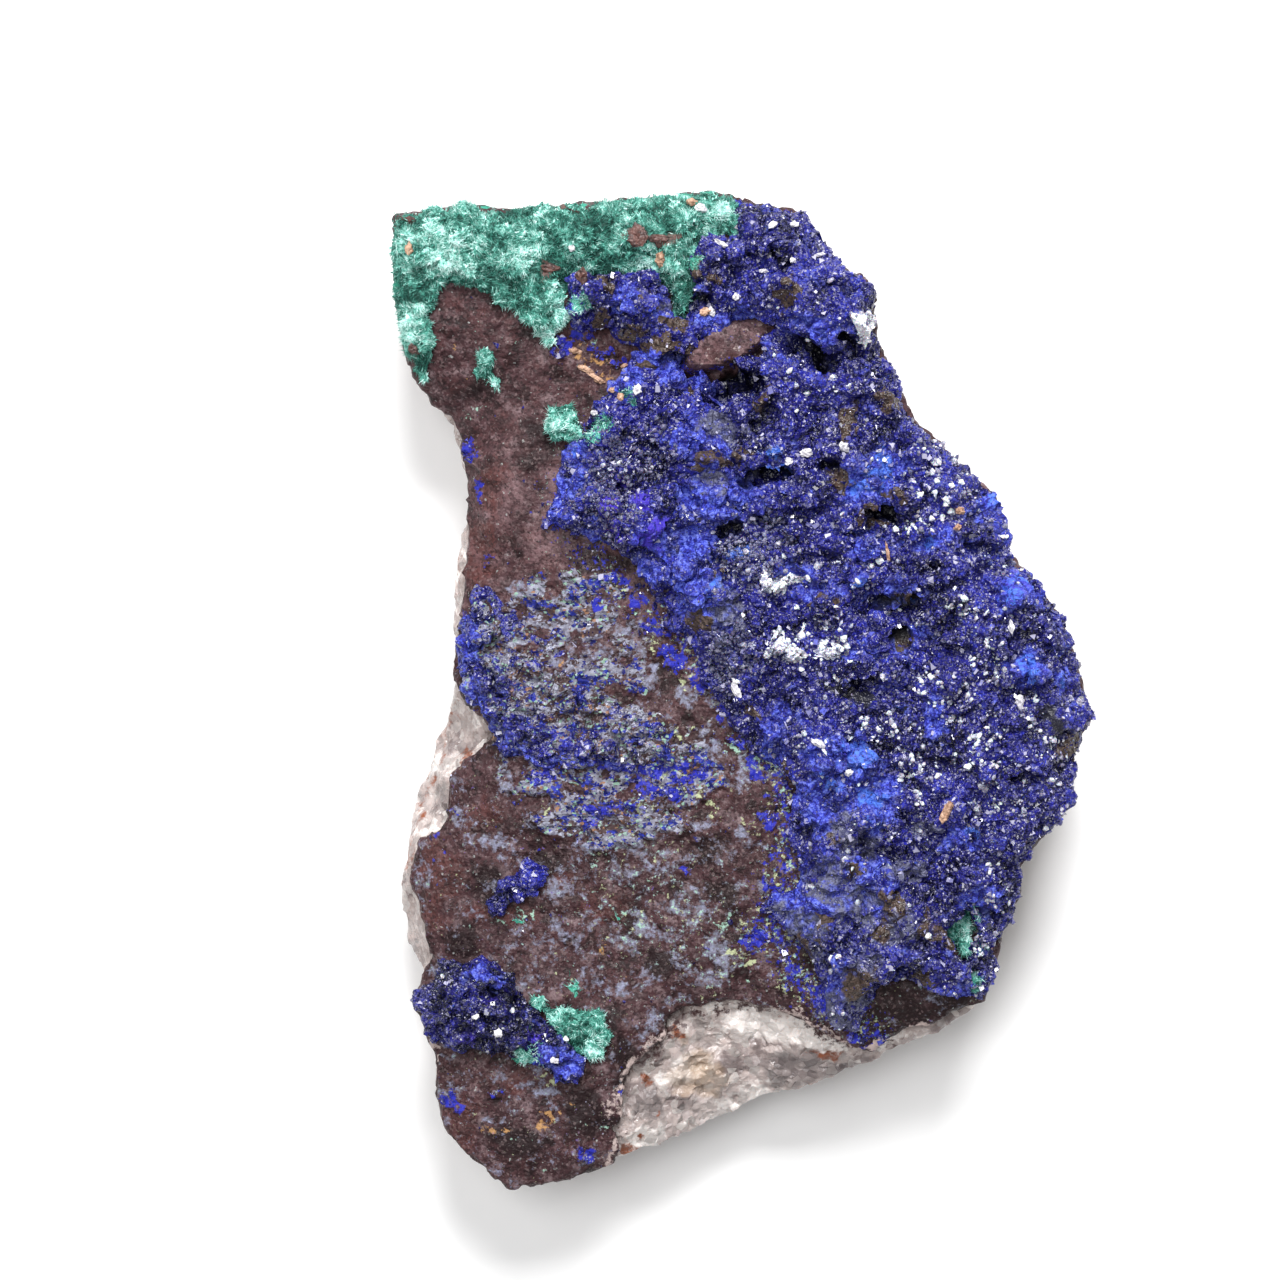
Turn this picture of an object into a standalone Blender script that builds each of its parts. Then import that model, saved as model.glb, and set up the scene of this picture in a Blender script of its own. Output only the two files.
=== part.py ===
"""An azurite specimen: a broken slab of vein quartz lying on its back, with a brown ironstone
layer on its face and crusts of azurite and malachite on that.

Lengths here are millimetres. MM turns them into Blender's metres where vertices are made.
+Z points out of the crystal face, +Y towards the malachite end, and the origin lies under the
middle of the slab. Each mineral is one closed solid. The face is laid out once, as a flat plan
of triangles. Every layer takes its own part of that plan, so neighbouring layers stay parallel.
"""

import math
import random

import bmesh
import bpy
from mathutils import Vector, noise
from mathutils.geometry import delaunay_2d_cdt

MM = 0.001

# Driving dimensions.
SLAB_WIDTH = 75
SLAB_LENGTH = 108
SILHOUETTE = [
    (-37.5, 51.5), (-33.5, 52), (-30, 52.5), (-25.5, 52), (-20, 52.5), (-13, 53), (-7, 53.5), (-3.5, 54),
    (1.5, 52.5), (6.5, 51.5), (9.5, 47), (12.5, 45), (14, 43), (14.5, 38.5), (16, 35), (19, 29), (23, 25),
    (27.5, 21), (28.5, 16), (29, 14.5), (34, 8.5), (36, 3), (37.5, -2), (37.5, -3.5), (36, -5.5),
    (35.5, -9.5), (35, -12.5), (32, -16), (30, -19), (30, -22), (28, -25.5), (27, -31), (25.5, -34.5),
    (21.5, -37), (14, -40.5), (7, -43.5), (3, -44.5), (-5.5, -48.5), (-11.5, -50.5), (-19, -53), (-25, -54),
    (-30, -50), (-32, -47.5), (-33, -44), (-33, -39.5), (-35.5, -34), (-34.5, -32), (-36, -29), (-37, -24),
    (-37, -19.5), (-35.5, -11.5), (-32, -2.5), (-31, 1), (-31, 5), (-31.5, 9.5), (-30.5, 17), (-30, 21.5),
    (-31.5, 30.5), (-33.5, 31), (-36.5, 37), (-37.5, 43),
]
QUARTZ_TOP = 14.0  # the quartz under the middle of the face
FACE_SLOPE = 0.035  # the face rises towards +X
IRONSTONE = 2.4
AZURITE = 3.2
MALACHITE = 1.9
GAP = 0.3  # air between two minerals that touch
INSET = 0.2  # each crust stops this far short of its neighbour
PLAN_STEP = 4.1  # spacing of the points over the face
BASE_SCALE = 0.87  # the underside's outline, as a share of the silhouette
BASE_RISE = 4.4  # how high the underside's rim stands off the ground
SIDE_RINGS = 2

# Broken corners where the brown layer has gone and the quartz shows. Each outline runs along
# the inner edge of the break and closes outside the slab. The number is the slope of the break.
LEFT_BREAK = [
    (-31, 30), (-30, 27), (-29.5, 21.5), (-29.5, 17), (-30, 12), (-30, 8.5), (-31.2, 3.5), (-30, -1),
    (-28.5, -2.5), (-26.5, -4.5), (-27.5, -6), (-30, -7.5), (-31.5, -9.5), (-31.5, -13.5), (-33, -15.5),
    (-35, -16), (-36, -20.5), (-34.5, -24), (-34, -27), (-33.5, -29), (-34.5, -31.5), (-44, -34), (-44, 30),
]
BOTTOM_BREAK = [
    (-14, -60), (-14.5, -53), (-13, -49.5), (-14, -47.5), (-13, -46), (-13, -43.5), (-12.5, -41), (-10, -39),
    (-8, -37), (-8, -35.5), (-6, -34), (-3, -33.5), (0, -33.5), (3, -34), (6, -35), (8, -36.5), (11, -38),
    (14, -39), (15, -38), (17.5, -36.5), (20.5, -36), (22.5, -34.5), (26, -33.5), (32, -36), (32, -60),
]
BREAKS = [(LEFT_BREAK, 1.2), (BOTTOM_BREAK, 0.36)]

# Crust outlines. Where a crust reaches the rim of the slab, its outline runs on outside.
MALACHITE_TOP = [
    (-44, 60), (0, 60), (0, 53), (-0.5, 49), (-4, 48.5), (-5.5, 46), (-5, 43), (-5.5, 39.5), (-7.5, 40),
    (-8, 43.5), (-10, 45), (-15, 44.5), (-18, 44.5), (-19, 42), (-19.5, 39.5), (-21, 37), (-23, 40),
    (-25, 41), (-27, 42.5), (-31, 44), (-33, 43.5), (-33.5, 40), (-33, 37), (-34, 34), (-36, 34.5), (-44, 34),
]
AZURITE_MAIN = [
    (-20, 60), (46, 60), (46, -31), (25.5, -34), (22.5, -33), (20, -32), (17.5, -31), (15, -31.5),
    (13.5, -35), (12.5, -37), (10, -36), (8.5, -34), (8, -30.5), (6.5, -27), (3.5, -25), (2, -23),
    (6.5, -20), (5.5, -18), (4.5, -13.5), (6, -10.5), (3.5, -8), (1.5, -7), (-1, -4), (-3.5, 0),
    (-5.5, 4.5), (-8, 7.5),
    (-10, 11.5), (-12, 14), (-15, 15.5), (-21.5, 18), (-20.5, 20.5), (-19.5, 24), (-18.5, 27), (-16, 31.5),
    (-14, 33.5), (-11, 36.5), (-14, 39), (-17.5, 38.5), (-19.5, 40.5), (-20, 46),
]
AZURITE_LEFT = [
    (-36, 10.5), (-27, 11.5), (-24, 8), (-21, 5.5), (-18, 4), (-14, 2), (-12, -1), (-6.5, -3.5), (-4.5, -6),
    (-5.5, -8.5), (-11, -9), (-16, -8), (-21.5, -8.5), (-25.5, -7), (-29, -6), (-36, -2),
]
AZURITE_LOWER = [
    (-42, -35), (-34.5, -31.5), (-32.5, -29.5), (-29, -29), (-24.5, -30), (-24, -32), (-21, -35),
    (-19, -36.5), (-16.5, -36), (-16.5, -38), (-17.5, -42), (-19.5, -42.5), (-22, -41), (-25, -39.5),
    (-29, -39), (-32.5, -38.5), (-42, -38),
]
AZURITE_SPOT = [
    (-23.5, -18.5), (-21, -19), (-21, -21), (-22.5, -22.5), (-27, -24), (-28, -22.5), (-25.5, -20.5),
]
MALACHITE_SPOTS = {
    "malachite_spot_upper": [(-28.5, 36.5), (-26, 36.5), (-26.5, 33), (-29, 33.5)],
    "malachite_spot_middle": [(-21, 30.5), (-18.5, 31), (-17, 28.5), (-18.5, 27), (-20.5, 26.5)],
    "malachite_spot_lower": [
        (-23, -33.2), (-19, -34.5), (-15.5, -34.5), (-14, -37), (-14.5, -40), (-17, -39.8),
    ],
    "malachite_spot_corner": [(22, -25), (24.5, -23.5), (25.5, -25.5), (24.5, -28.5), (22.5, -28)],
}

# White calcite that has grown on the azurite.
CALCITE = {
    "calcite_tuft_top": [(10.4, 40.4), (13.4, 41), (13.6, 38.6), (11.4, 37.6)],
    "calcite_tuft_middle": [(0.8, 13.8), (3.2, 12.6), (6.8, 12.8), (6.4, 10.4), (2.4, 10.2)],
    "calcite_tuft_lower": [(2.2, 6.4), (6.4, 7), (11.4, 6), (10.6, 3.6), (5, 3.4), (2.4, 4)],
}

# A plate of brown rock that stands through the azurite.
BROWN_PLATE = [(-7, 35), (-3, 38.5), (1, 39.7), (3.8, 39.5), (2.5, 36.7), (-1, 34.2), (-4.5, 33.6)]

# Elliptical bumps and hollows as (x, y, radius x, radius y, height).
ROCK_BUMPS = [
    (-2.3, 36.7, 5.5, 2.6, 3.2), (-27, 38, 8, 5, 0.9), (2.5, -11.5, 3.2, 3.2, 1.4), (-20, 22, 7, 9, 0.8),
]
AZURITE_BUMPS = [
    (6, 43, 8, 5.5, 2.2), (11.5, 39, 3, 2.5, 1.4), (-3, 22, 4, 7, 1.0), (11, 24, 4, 5, 1.3),
    (20, 12, 8, 5, 1.2), (27, -6, 8, 6, 1.0), (9, -14, 6, 7, 0.8), (-9, 41, 5, 2.5, 0.9),
    (25, -21, 4, 6, 0.8), (3, 3, 6, 5, 0.8),
]
AZURITE_HOLLOWS = [
    (-0.6, 31.6, 2.8, 1.3, -2.6), (10.6, 35.9, 2.4, 1.2, -2.4), (4.5, 39.2, 1.4, 1.1, -1.8),
    (4, 46.8, 1.6, 1.3, -1.8), (-1.1, 17.8, 1.8, 1, -1.6), (15.3, 19.5, 1.8, 1.1, -2.0),
    (15.6, 9.6, 2.6, 1.1, -1.8), (12.7, -0.3, 2.4, 1.1, -1.6), (2, 23.2, 2.4, 1.2, -1.8),
    (26.7, -23.5, 1.4, 1.6, -1.6), (17.6, -29.6, 2.6, 1.2, -1.2),
]

# Flat fractures across the lower sides, as a point on the plane and its outward direction.
FRACTURES = [
    ((31, -6, 4), (1, -0.25, -0.8)), ((-16, -50.5, 3), (-0.2, -1, -0.75)), ((-33, 44, 3), (-1, 0.35, -0.9)),
    ((14, 38, 4), (1, 0.5, -0.8)), ((-34, -22, 3), (-1, -0.1, -0.8)), ((22, -33, 4), (0.6, -1, -0.8)),
]


def material(name, colour, roughness):
    made = bpy.data.materials.new(name)
    made.use_nodes = True
    shader = made.node_tree.nodes["Principled BSDF"]
    shader.inputs["Base Color"].default_value = (*colour, 1.0)
    shader.inputs["Roughness"].default_value = roughness
    shader.inputs["Metallic"].default_value = 0.0
    return made


# ---------- plane geometry ----------


def inside(point, outline):
    x, y = point
    crossings = 0
    for (x0, y0), (x1, y1) in zip(outline, outline[1:] + outline[:1]):
        if (y0 > y) != (y1 > y) and x < x0 + (y - y0) * (x1 - x0) / (y1 - y0):
            crossings += 1
    return crossings % 2 == 1


def distance(point, outline):
    """How far a point is from the outline's nearest edge."""
    x, y = point
    nearest = math.inf
    for (x0, y0), (x1, y1) in zip(outline, outline[1:] + outline[:1]):
        along_x, along_y = x1 - x0, y1 - y0
        share = ((x - x0) * along_x + (y - y0) * along_y) / (along_x**2 + along_y**2)
        share = min(1.0, max(0.0, share))
        nearest = min(nearest, math.hypot(x - x0 - share * along_x, y - y0 - share * along_y))
    return nearest


def subdivided(outline, step):
    """The outline with no edge longer than the step, and the added points a little off the line."""
    points = []
    for (x0, y0), (x1, y1) in zip(outline, outline[1:] + outline[:1]):
        length = math.hypot(x1 - x0, y1 - y0)
        pieces = max(1, round(length / step))
        for piece in range(pieces):
            share = piece / pieces
            x, y = x0 + (x1 - x0) * share, y0 + (y1 - y0) * share
            off = 0.35 * noise.noise(Vector((x, y, 3.3))) if piece else 0.0
            points.append((x - off * (y1 - y0) / length, y + off * (x1 - x0) / length))
    return points


def ramp(value, low, high):
    share = min(1.0, max(0.0, (value - low) / (high - low)))
    return share * share * (3 - 2 * share)


def mounds(x, y, table):
    total = 0.0
    for centre_x, centre_y, radius_x, radius_y, height in table:
        total += height * math.exp(-(((x - centre_x) / radius_x) ** 2) - ((y - centre_y) / radius_y) ** 2)
    return total


def waves(x, y, size, layer):
    """Smooth noise of about -1 to 1, with humps that are size across."""
    return noise.noise(Vector((x / size, y / size, layer))) * 1.6


def knobs(x, y, size, layer):
    """Rounded knobs from 0 in the clefts to 1 at their tops, packed size apart."""
    nearest = noise.voronoi(Vector((x / size, y / size, layer)))[0][0]
    return max(0.0, 1.0 - (nearest / 0.8) ** 2)


# ---------- heights of the layers above the ground ----------


def quartz_height(x, y):
    rim = distance((x, y), SILHOUETTE)
    height = QUARTZ_TOP + FACE_SLOPE * x + 1.1 * waves(x, y, 30, 1.5) + 0.4 * waves(x, y, 9, 4.5)
    height -= 1.4 * (1 - ramp(rim, 0, 3.5))
    for outline, slope in BREAKS:
        if inside((x, y), outline):
            away = distance((x, y), outline)
            height -= slope * away + 0.8 * min(1.0, away)
            height += 0.8 * knobs(x, y, 5, 2.5) * min(1.0, away)
    return height


def ironstone_height(x, y):
    to_break = min(distance((x, y), outline) for outline, _ in BREAKS)
    thickness = IRONSTONE * (0.45 + 0.55 * ramp(to_break, 0, 3))
    thickness += 0.5 * waves(x, y, 15, 3.5) + 0.35 * waves(x, y, 7, 8.5) + mounds(x, y, ROCK_BUMPS)
    return quartz_height(x, y) + GAP + max(0.9, thickness)


def azurite_thickness(x, y, outline, full):
    """A crust with rounded knobs that thins to its own edge and round the brown plate."""
    to_edge = min(distance((x, y), outline), distance((x, y), BROWN_PLATE))
    grown = ramp(to_edge, 0, 3)
    thickness = 0.9 + (full - 0.9) * grown
    thickness += grown * (1.3 * knobs(x, y, 6.5, 5.5) + 0.9 * knobs(x, y, 3.1, 9.5) - 0.9)
    thickness += grown * mounds(x, y, AZURITE_BUMPS + AZURITE_HOLLOWS)
    thickness *= 0.4 + 0.6 * ramp(distance((x, y), SILHOUETTE), -0.5, 2.5)
    return max(0.7, thickness)


def malachite_thickness(x, y, outline, full):
    """A mossy crust, finer and flatter than the azurite."""
    grown = ramp(distance((x, y), outline), 0, 2)
    thickness = 0.8 + (full - 0.8) * grown
    thickness += grown * (0.9 * knobs(x, y, 4.2, 6.5) + 0.5 * waves(x, y, 2.4, 2.5) - 0.3)
    thickness *= 0.5 + 0.5 * ramp(distance((x, y), SILHOUETTE), -0.5, 2)
    return max(0.6, thickness)


# ---------- the plan ----------


def covered(point, outlines):
    return any(inside(point, outline) for outline in outlines)


def broken(point):
    return covered(point, [outline for outline, _ in BREAKS])


def in_malachite(point, outline):
    return inside(point, outline) and not broken(point)


def in_azurite(point, outline):
    others = [MALACHITE_TOP, BROWN_PLATE, *MALACHITE_SPOTS.values()]
    return inside(point, outline) and not broken(point) and not covered(point, others)


def face_plan():
    """Triangles over the whole face, in millimetres, with an edge along every outline."""
    outlines = [SILHOUETTE, *(outline for outline, _ in BREAKS), MALACHITE_TOP, AZURITE_MAIN, AZURITE_LEFT]
    outlines += [AZURITE_LOWER, AZURITE_SPOT, BROWN_PLATE, *MALACHITE_SPOTS.values()]
    points, edges = [], []
    for outline in outlines:
        ring = subdivided(outline, PLAN_STEP)
        start = len(points)
        points += [Vector(point) for point in ring]
        edges += [(start + i, start + (i + 1) % len(ring)) for i in range(len(ring))]
    rng = random.Random(7)
    row_step = PLAN_STEP * math.sqrt(3) / 2
    rows = math.ceil(SLAB_LENGTH / 2 / row_step)
    columns = math.ceil(SLAB_WIDTH / 2 / PLAN_STEP) + 1
    for row in range(-rows, rows + 1):
        for column in range(-columns, columns + 1):
            x = (column + 0.5 * (row % 2)) * PLAN_STEP + rng.uniform(-0.7, 0.7)
            y = row * row_step + rng.uniform(-0.7, 0.7)
            clear = min(distance((x, y), outline) for outline in outlines)
            if inside((x, y), SILHOUETTE) and clear > 0.4 * PLAN_STEP:
                points.append(Vector((x, y)))
    made_points, _, made_faces, *_ = delaunay_2d_cdt(points, edges, [], 0, 1e-4)
    plan = bmesh.new()
    verts = [plan.verts.new((point.x, point.y, 0.0)) for point in made_points]
    for face in made_faces:
        plan.faces.new([verts[i] for i in face])
    bmesh.ops.remove_doubles(plan, verts=plan.verts, dist=0.6)
    keep_where(plan, lambda point: inside(point, SILHOUETTE))
    bmesh.ops.recalc_face_normals(plan, faces=plan.faces)
    if plan.faces[:][0].normal.z < 0:
        bmesh.ops.reverse_faces(plan, faces=plan.faces)
    return plan


def keep_where(bm, wanted):
    """Deletes the triangles whose middle isn't wanted, and any that hang on by a corner."""
    outside = [f for f in bm.faces if not wanted(f.calc_center_median().xy)]
    bmesh.ops.delete(bm, geom=outside, context="FACES")
    islands, seen = [], set()
    for face in bm.faces:
        if face in seen:
            continue
        island, todo = [], [face]
        seen.add(face)
        while todo:
            current = todo.pop()
            island.append(current)
            for edge in current.edges:
                for other in edge.link_faces:
                    if other not in seen:
                        seen.add(other)
                        todo.append(other)
        islands.append(island)
    islands.sort(key=len)
    strays = [face for island in islands[:-1] for face in island]
    bmesh.ops.delete(bm, geom=strays, context="FACES")


# ---------- solids ----------


def slab(plan, wanted):
    """The wanted part of the plan as a slab of unit height."""
    bm = plan.copy()
    keep_where(bm, wanted)
    made = bmesh.ops.extrude_face_region(bm, geom=bm.faces[:])["geom"]
    for item in made:
        if isinstance(item, bmesh.types.BMVert):
            item.co.z = 1.0
    bmesh.ops.recalc_face_normals(bm, faces=bm.faces)
    return bm


def lift(bm, bottom, top):
    """Stretches a slab of unit height between two surfaces."""
    for vert in bm.verts:
        x, y, share = vert.co
        low = bottom(x, y)
        vert.co.z = low + (top(x, y) - low) * share


def on_wall(vert):
    return any(abs(face.normal.z) < 0.5 for face in vert.link_faces)


def pull_in(bm, shift):
    """Moves the upright walls of a slab inwards, so that they clear its neighbours."""
    inward = {}
    for face in bm.faces:
        if abs(face.normal.z) < 0.5:
            for vert in face.verts:
                inward.setdefault(vert, Vector())
                inward[vert] -= face.normal
    for vert, direction in inward.items():
        if direction.length > 0.2:
            vert.co += direction.normalized() * shift


def refine_top(bm, jitter, seed):
    """Splits each triangle of a slab's top in four, and scatters the new points a little."""
    rng = random.Random(seed)
    top_edges = [edge for edge in bm.edges if all(vert.co.z > 0.5 for vert in edge.verts)]
    bmesh.ops.subdivide_edges(bm, edges=top_edges, cuts=1, use_grid_fill=True)
    bm.normal_update()
    for vert in bm.verts:
        if vert.co.z > 0.5 and not on_wall(vert):
            vert.co.x += rng.uniform(-jitter, jitter)
            vert.co.y += rng.uniform(-jitter, jitter)


def grow_crystals(bm, rooted, share, size, height, seed):
    """Draws blunt crystals with flat sides and pointed ends out of a share of the rooted faces."""
    rng = random.Random(seed)
    bm.normal_update()
    ground = [face for face in bm.faces if rooted(face)]
    joined = bmesh.ops.join_triangles(bm, faces=ground, angle_face_threshold=0.6, angle_shape_threshold=0.9)
    paired = sorted(joined["faces"], key=lambda f: tuple(round(c, 3) for c in f.calc_center_median()))
    roots = [face for face in paired if rng.random() < share]
    stems = bmesh.ops.extrude_discrete_faces(bm, faces=roots)["faces"]
    for face in stems:
        centre = face.calc_center_median()
        lean = Vector((rng.uniform(-0.25, 0.25), rng.uniform(-0.25, 0.25), 1.0))
        reach = (face.normal + lean).normalized() * height * rng.uniform(0.45, 1.3)
        taper = size * rng.uniform(0.75, 1.2)
        for vert in face.verts:
            vert.co = centre + (vert.co - centre) * taper + reach
    bmesh.ops.poke(bm, faces=stems, offset=0.4 * height)


def finish(bm, name, look):
    """Turns a solid in millimetres into an object in metres."""
    bmesh.ops.triangulate(bm, faces=bm.faces[:])
    bmesh.ops.recalc_face_normals(bm, faces=bm.faces)
    bmesh.ops.scale(bm, vec=(MM, MM, MM), verts=bm.verts)
    mesh = bpy.data.meshes.new(name)
    bm.to_mesh(mesh)
    bm.free()
    mesh.materials.append(look)
    obj = bpy.data.objects.new(name, mesh)
    bpy.context.scene.collection.objects.link(obj)


def underside(x, y):
    """Flat under the middle, and rising to the rim in an uneven curve."""
    rim = distance((x, y), SILHOUETTE)
    rise = BASE_RISE * (1 - ramp(rim, 0, 13)) + 1.1 * waves(x, y, 13, 7.5) - 0.75
    return max(0.0, rise)


def build_quartz(plan, look):
    """The slab itself: broken sides that lean in towards a smaller underside."""
    bm = slab(plan, lambda point: True)
    uprights = [edge for edge in bm.edges if abs(edge.verts[0].co.z - edge.verts[1].co.z) > 0.5]
    bmesh.ops.subdivide_edges(bm, edges=uprights, cuts=SIDE_RINGS, use_grid_fill=True)
    shares = {vert: vert.co.z for vert in bm.verts}
    lift(bm, underside, quartz_height)
    for vert, share in shares.items():
        scale = 1 - (1 - BASE_SCALE) * (1 - share) ** 1.6
        vert.co.x *= scale
        vert.co.y *= scale
        if 0.01 < share < 0.99:
            rough = noise.noise_vector(vert.co / 6)
            vert.co += Vector((rough.x, rough.y, 0.4 * rough.z)) * 1.5
    for point, outward in FRACTURES:
        geometry = bm.verts[:] + bm.edges[:] + bm.faces[:]
        cut = bmesh.ops.bisect_plane(bm, geom=geometry, plane_co=point, plane_no=outward, clear_outer=True)
        rim = [item for item in cut["geom_cut"] if isinstance(item, bmesh.types.BMEdge)]
        bmesh.ops.holes_fill(bm, edges=rim, sides=0)
    base = [face for face in bm.faces if all(abs(vert.co.z) < 1e-4 for vert in face.verts)]
    base_verts = list({vert for face in base for vert in face.verts})
    base_edges = list({edge for face in base for edge in face.edges})
    bmesh.ops.dissolve_limit(bm, angle_limit=0.01, verts=base_verts, edges=base_edges)
    finish(bm, "quartz_matrix", look)


def build_ironstone(plan, look):
    bm = slab(plan, lambda point: not broken(point))
    lift(bm, lambda x, y: quartz_height(x, y) + GAP, ironstone_height)
    finish(bm, "ironstone_layer", look)


def build_calcite(crust, look):
    """Clumps of white crystals, each on its own patch of the azurite crust's top."""
    for name, outline in CALCITE.items():
        bm = crust.copy()
        bm.normal_update()
        under = [face for face in bm.faces if face.normal.z < 0.3]
        bmesh.ops.delete(bm, geom=under, context="FACES")
        keep_where(bm, lambda point: inside(point, outline))
        made = bmesh.ops.extrude_face_region(bm, geom=bm.faces[:])["geom"]
        bmesh.ops.translate(bm, verts=bm.verts, vec=(0, 0, GAP))
        bmesh.ops.translate(bm, verts=[v for v in made if isinstance(v, bmesh.types.BMVert)], vec=(0, 0, 0.6))
        bmesh.ops.recalc_face_normals(bm, faces=bm.faces)
        grow_crystals(bm, lambda face: face.normal.z > 0.3, 1.0, 0.45, 1.2, len(name))
        finish(bm, name, look)


def crust(plan, outline, wanted, thickness, full, seed):
    """One crust on the ironstone, before its crystals."""

    def bottom(x, y):
        return ironstone_height(x, y) + GAP

    def top(x, y):
        return bottom(x, y) + thickness(x, y, outline, full)

    bm = slab(plan, lambda point: wanted(point, outline))
    refine_top(bm, 0.3, seed)
    lift(bm, bottom, top)
    bm.normal_update()
    pull_in(bm, INSET)
    return bm


def rooted(face):
    """True where a crust's crystals may grow: on its top, off its rim and clear of the calcite."""
    rim = any(on_wall(vert) for vert in face.verts)
    return face.normal.z > 0.5 and not rim and not covered(face.calc_center_median().xy, CALCITE.values())


def main():
    for obj in list(bpy.data.objects):
        bpy.data.objects.remove(obj)
    quartz = material("quartz", (0.62, 0.54, 0.50), 0.40)
    ironstone = material("ironstone", (0.085, 0.045, 0.042), 0.65)
    azurite = material("azurite", (0.020, 0.028, 0.260), 0.30)
    malachite = material("malachite", (0.045, 0.300, 0.200), 0.60)
    calcite = material("calcite", (0.80, 0.80, 0.76), 0.35)
    plan = face_plan()
    build_quartz(plan, quartz)
    build_ironstone(plan, ironstone)
    azurites = [
        ("azurite_crust", AZURITE_MAIN, AZURITE, (0.42, 0.65, 1.5, 11)),
        ("azurite_crust_left", AZURITE_LEFT, 1.5, (0.8, 0.55, 0.8, 12)),
        ("azurite_crust_lower", AZURITE_LOWER, 2.6, (0.85, 0.60, 1.1, 13)),
        ("azurite_spot", AZURITE_SPOT, 1.6, (0.9, 0.55, 0.8, 14)),
    ]
    for name, outline, full, crystals in azurites:
        bm = crust(plan, outline, in_azurite, azurite_thickness, full, crystals[-1])
        if name == "azurite_crust":
            build_calcite(bm, calcite)
        grow_crystals(bm, rooted, *crystals)
        finish(bm, name, azurite)
    malachites = [("malachite_crust", MALACHITE_TOP, MALACHITE)]
    malachites += [(name, outline, 1.2) for name, outline in MALACHITE_SPOTS.items()]
    for name, outline, full in malachites:
        bm = crust(plan, outline, in_malachite, malachite_thickness, full, 15)
        grow_crystals(bm, rooted, 0.7, 0.4, 0.7, 15)
        finish(bm, name, malachite)
    plan.free()


main()
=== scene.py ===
import bmesh
import bpy
import numpy as np
from mathutils import Matrix, Vector, noise


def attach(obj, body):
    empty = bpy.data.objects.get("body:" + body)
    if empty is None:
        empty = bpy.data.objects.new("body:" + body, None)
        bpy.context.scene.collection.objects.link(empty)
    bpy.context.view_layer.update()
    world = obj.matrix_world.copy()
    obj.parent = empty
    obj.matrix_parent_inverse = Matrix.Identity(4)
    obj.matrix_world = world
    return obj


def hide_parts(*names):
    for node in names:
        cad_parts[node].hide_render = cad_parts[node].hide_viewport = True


# An azurite specimen lying on its back: quartz, a brown ironstone face, and crusts on that.
# Shapes are worked on in millimetres and written in metres. +Y is the malachite end.
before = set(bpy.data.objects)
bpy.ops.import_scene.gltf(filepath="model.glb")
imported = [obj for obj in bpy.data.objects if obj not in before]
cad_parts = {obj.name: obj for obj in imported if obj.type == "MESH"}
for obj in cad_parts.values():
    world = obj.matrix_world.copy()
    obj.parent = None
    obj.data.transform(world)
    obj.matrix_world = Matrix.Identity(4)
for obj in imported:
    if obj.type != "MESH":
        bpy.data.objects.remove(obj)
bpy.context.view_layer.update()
scene = bpy.context.scene
scene.view_settings.view_transform = "Standard"
mm = 0.001
coarse = 1.0
layerStep = 17.3  # how far apart the layers of one noise lie
noise.seed_set(7)  # without a seed each run shifts its noise vectors elsewhere


# pieces and their points

def pieceName(nodeName):
    # malachite_spot_upper becomes malachiteSpotUpper
    first, *rest = nodeName.split("_")
    return first + "".join(word.capitalize() for word in rest)


def newPiece(name, mesh, look, nodeName=None):
    mesh.materials.clear()
    mesh.materials.append(look)
    piece = bpy.data.objects.new(name, mesh)
    scene.collection.objects.link(piece)
    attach(piece, "root")
    if nodeName:
        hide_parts(nodeName)
    print(name + ":", len(mesh.polygons), "faces")


def meshOf(shape, name):
    mesh = bpy.data.meshes.new(name)
    shape.to_mesh(mesh)
    shape.free()
    return mesh


def helperOf(mesh):
    helper = bpy.data.objects.new(mesh.name + "Helper", mesh)
    scene.collection.objects.link(helper)
    return helper


def applied(helper, name):
    # the helper's mesh with its modifiers made real; the helper itself goes
    graph = bpy.context.evaluated_depsgraph_get()
    made = bpy.data.meshes.new_from_object(helper.evaluated_get(graph))
    bpy.data.objects.remove(helper)
    made.name = name
    return made


def fineSkin(name, nodeName, voxel):
    # a closed skin of small even faces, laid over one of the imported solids
    shape = bmesh.new()
    shape.from_mesh(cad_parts[nodeName].data)
    bmesh.ops.remove_doubles(shape, verts=shape.verts, dist=0.01 * mm)
    helper = helperOf(meshOf(shape, name))
    remesh = helper.modifiers.new("evenFaces", "REMESH")
    remesh.mode = "VOXEL"
    remesh.voxel_size = voxel * coarse * mm
    return applied(helper, name)


def thinOut(mesh, unseen, ratio):
    # fewer faces on the sides that lie on other stone
    helper = helperOf(mesh)
    group = helper.vertex_groups.new(name="unseen")
    group.add(np.flatnonzero(unseen).tolist(), 1.0, "REPLACE")
    decimate = helper.modifiers.new("fewerFaces", "DECIMATE")
    decimate.vertex_group = group.name
    decimate.ratio = ratio
    return applied(helper, mesh.name)


def readSkin(mesh):
    # each point in millimetres, and the way that the skin faces there
    both = []
    for source, key in ((mesh.vertices, "co"), (mesh.vertex_normals, "vector")):
        values = np.empty(len(source) * 3, np.float32)
        source.foreach_get(key, values)
        both.append(values.reshape(-1, 3).astype(float))
    return both[0] / mm, both[1]


def writePoints(mesh, points):
    mesh.vertices.foreach_set("co", (points * mm).astype(np.float32).ravel())
    mesh.update()


def paint(mesh, name, values):
    layer = mesh.attributes.new(name, "FLOAT", "POINT")
    layer.data.foreach_set("value", np.asarray(values, np.float32))


# relief, all of it from smooth or cellular noise with a size in millimetres

def noisePlaces(points, size, layer):
    return (points / size + layerStep * layer).tolist()


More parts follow.
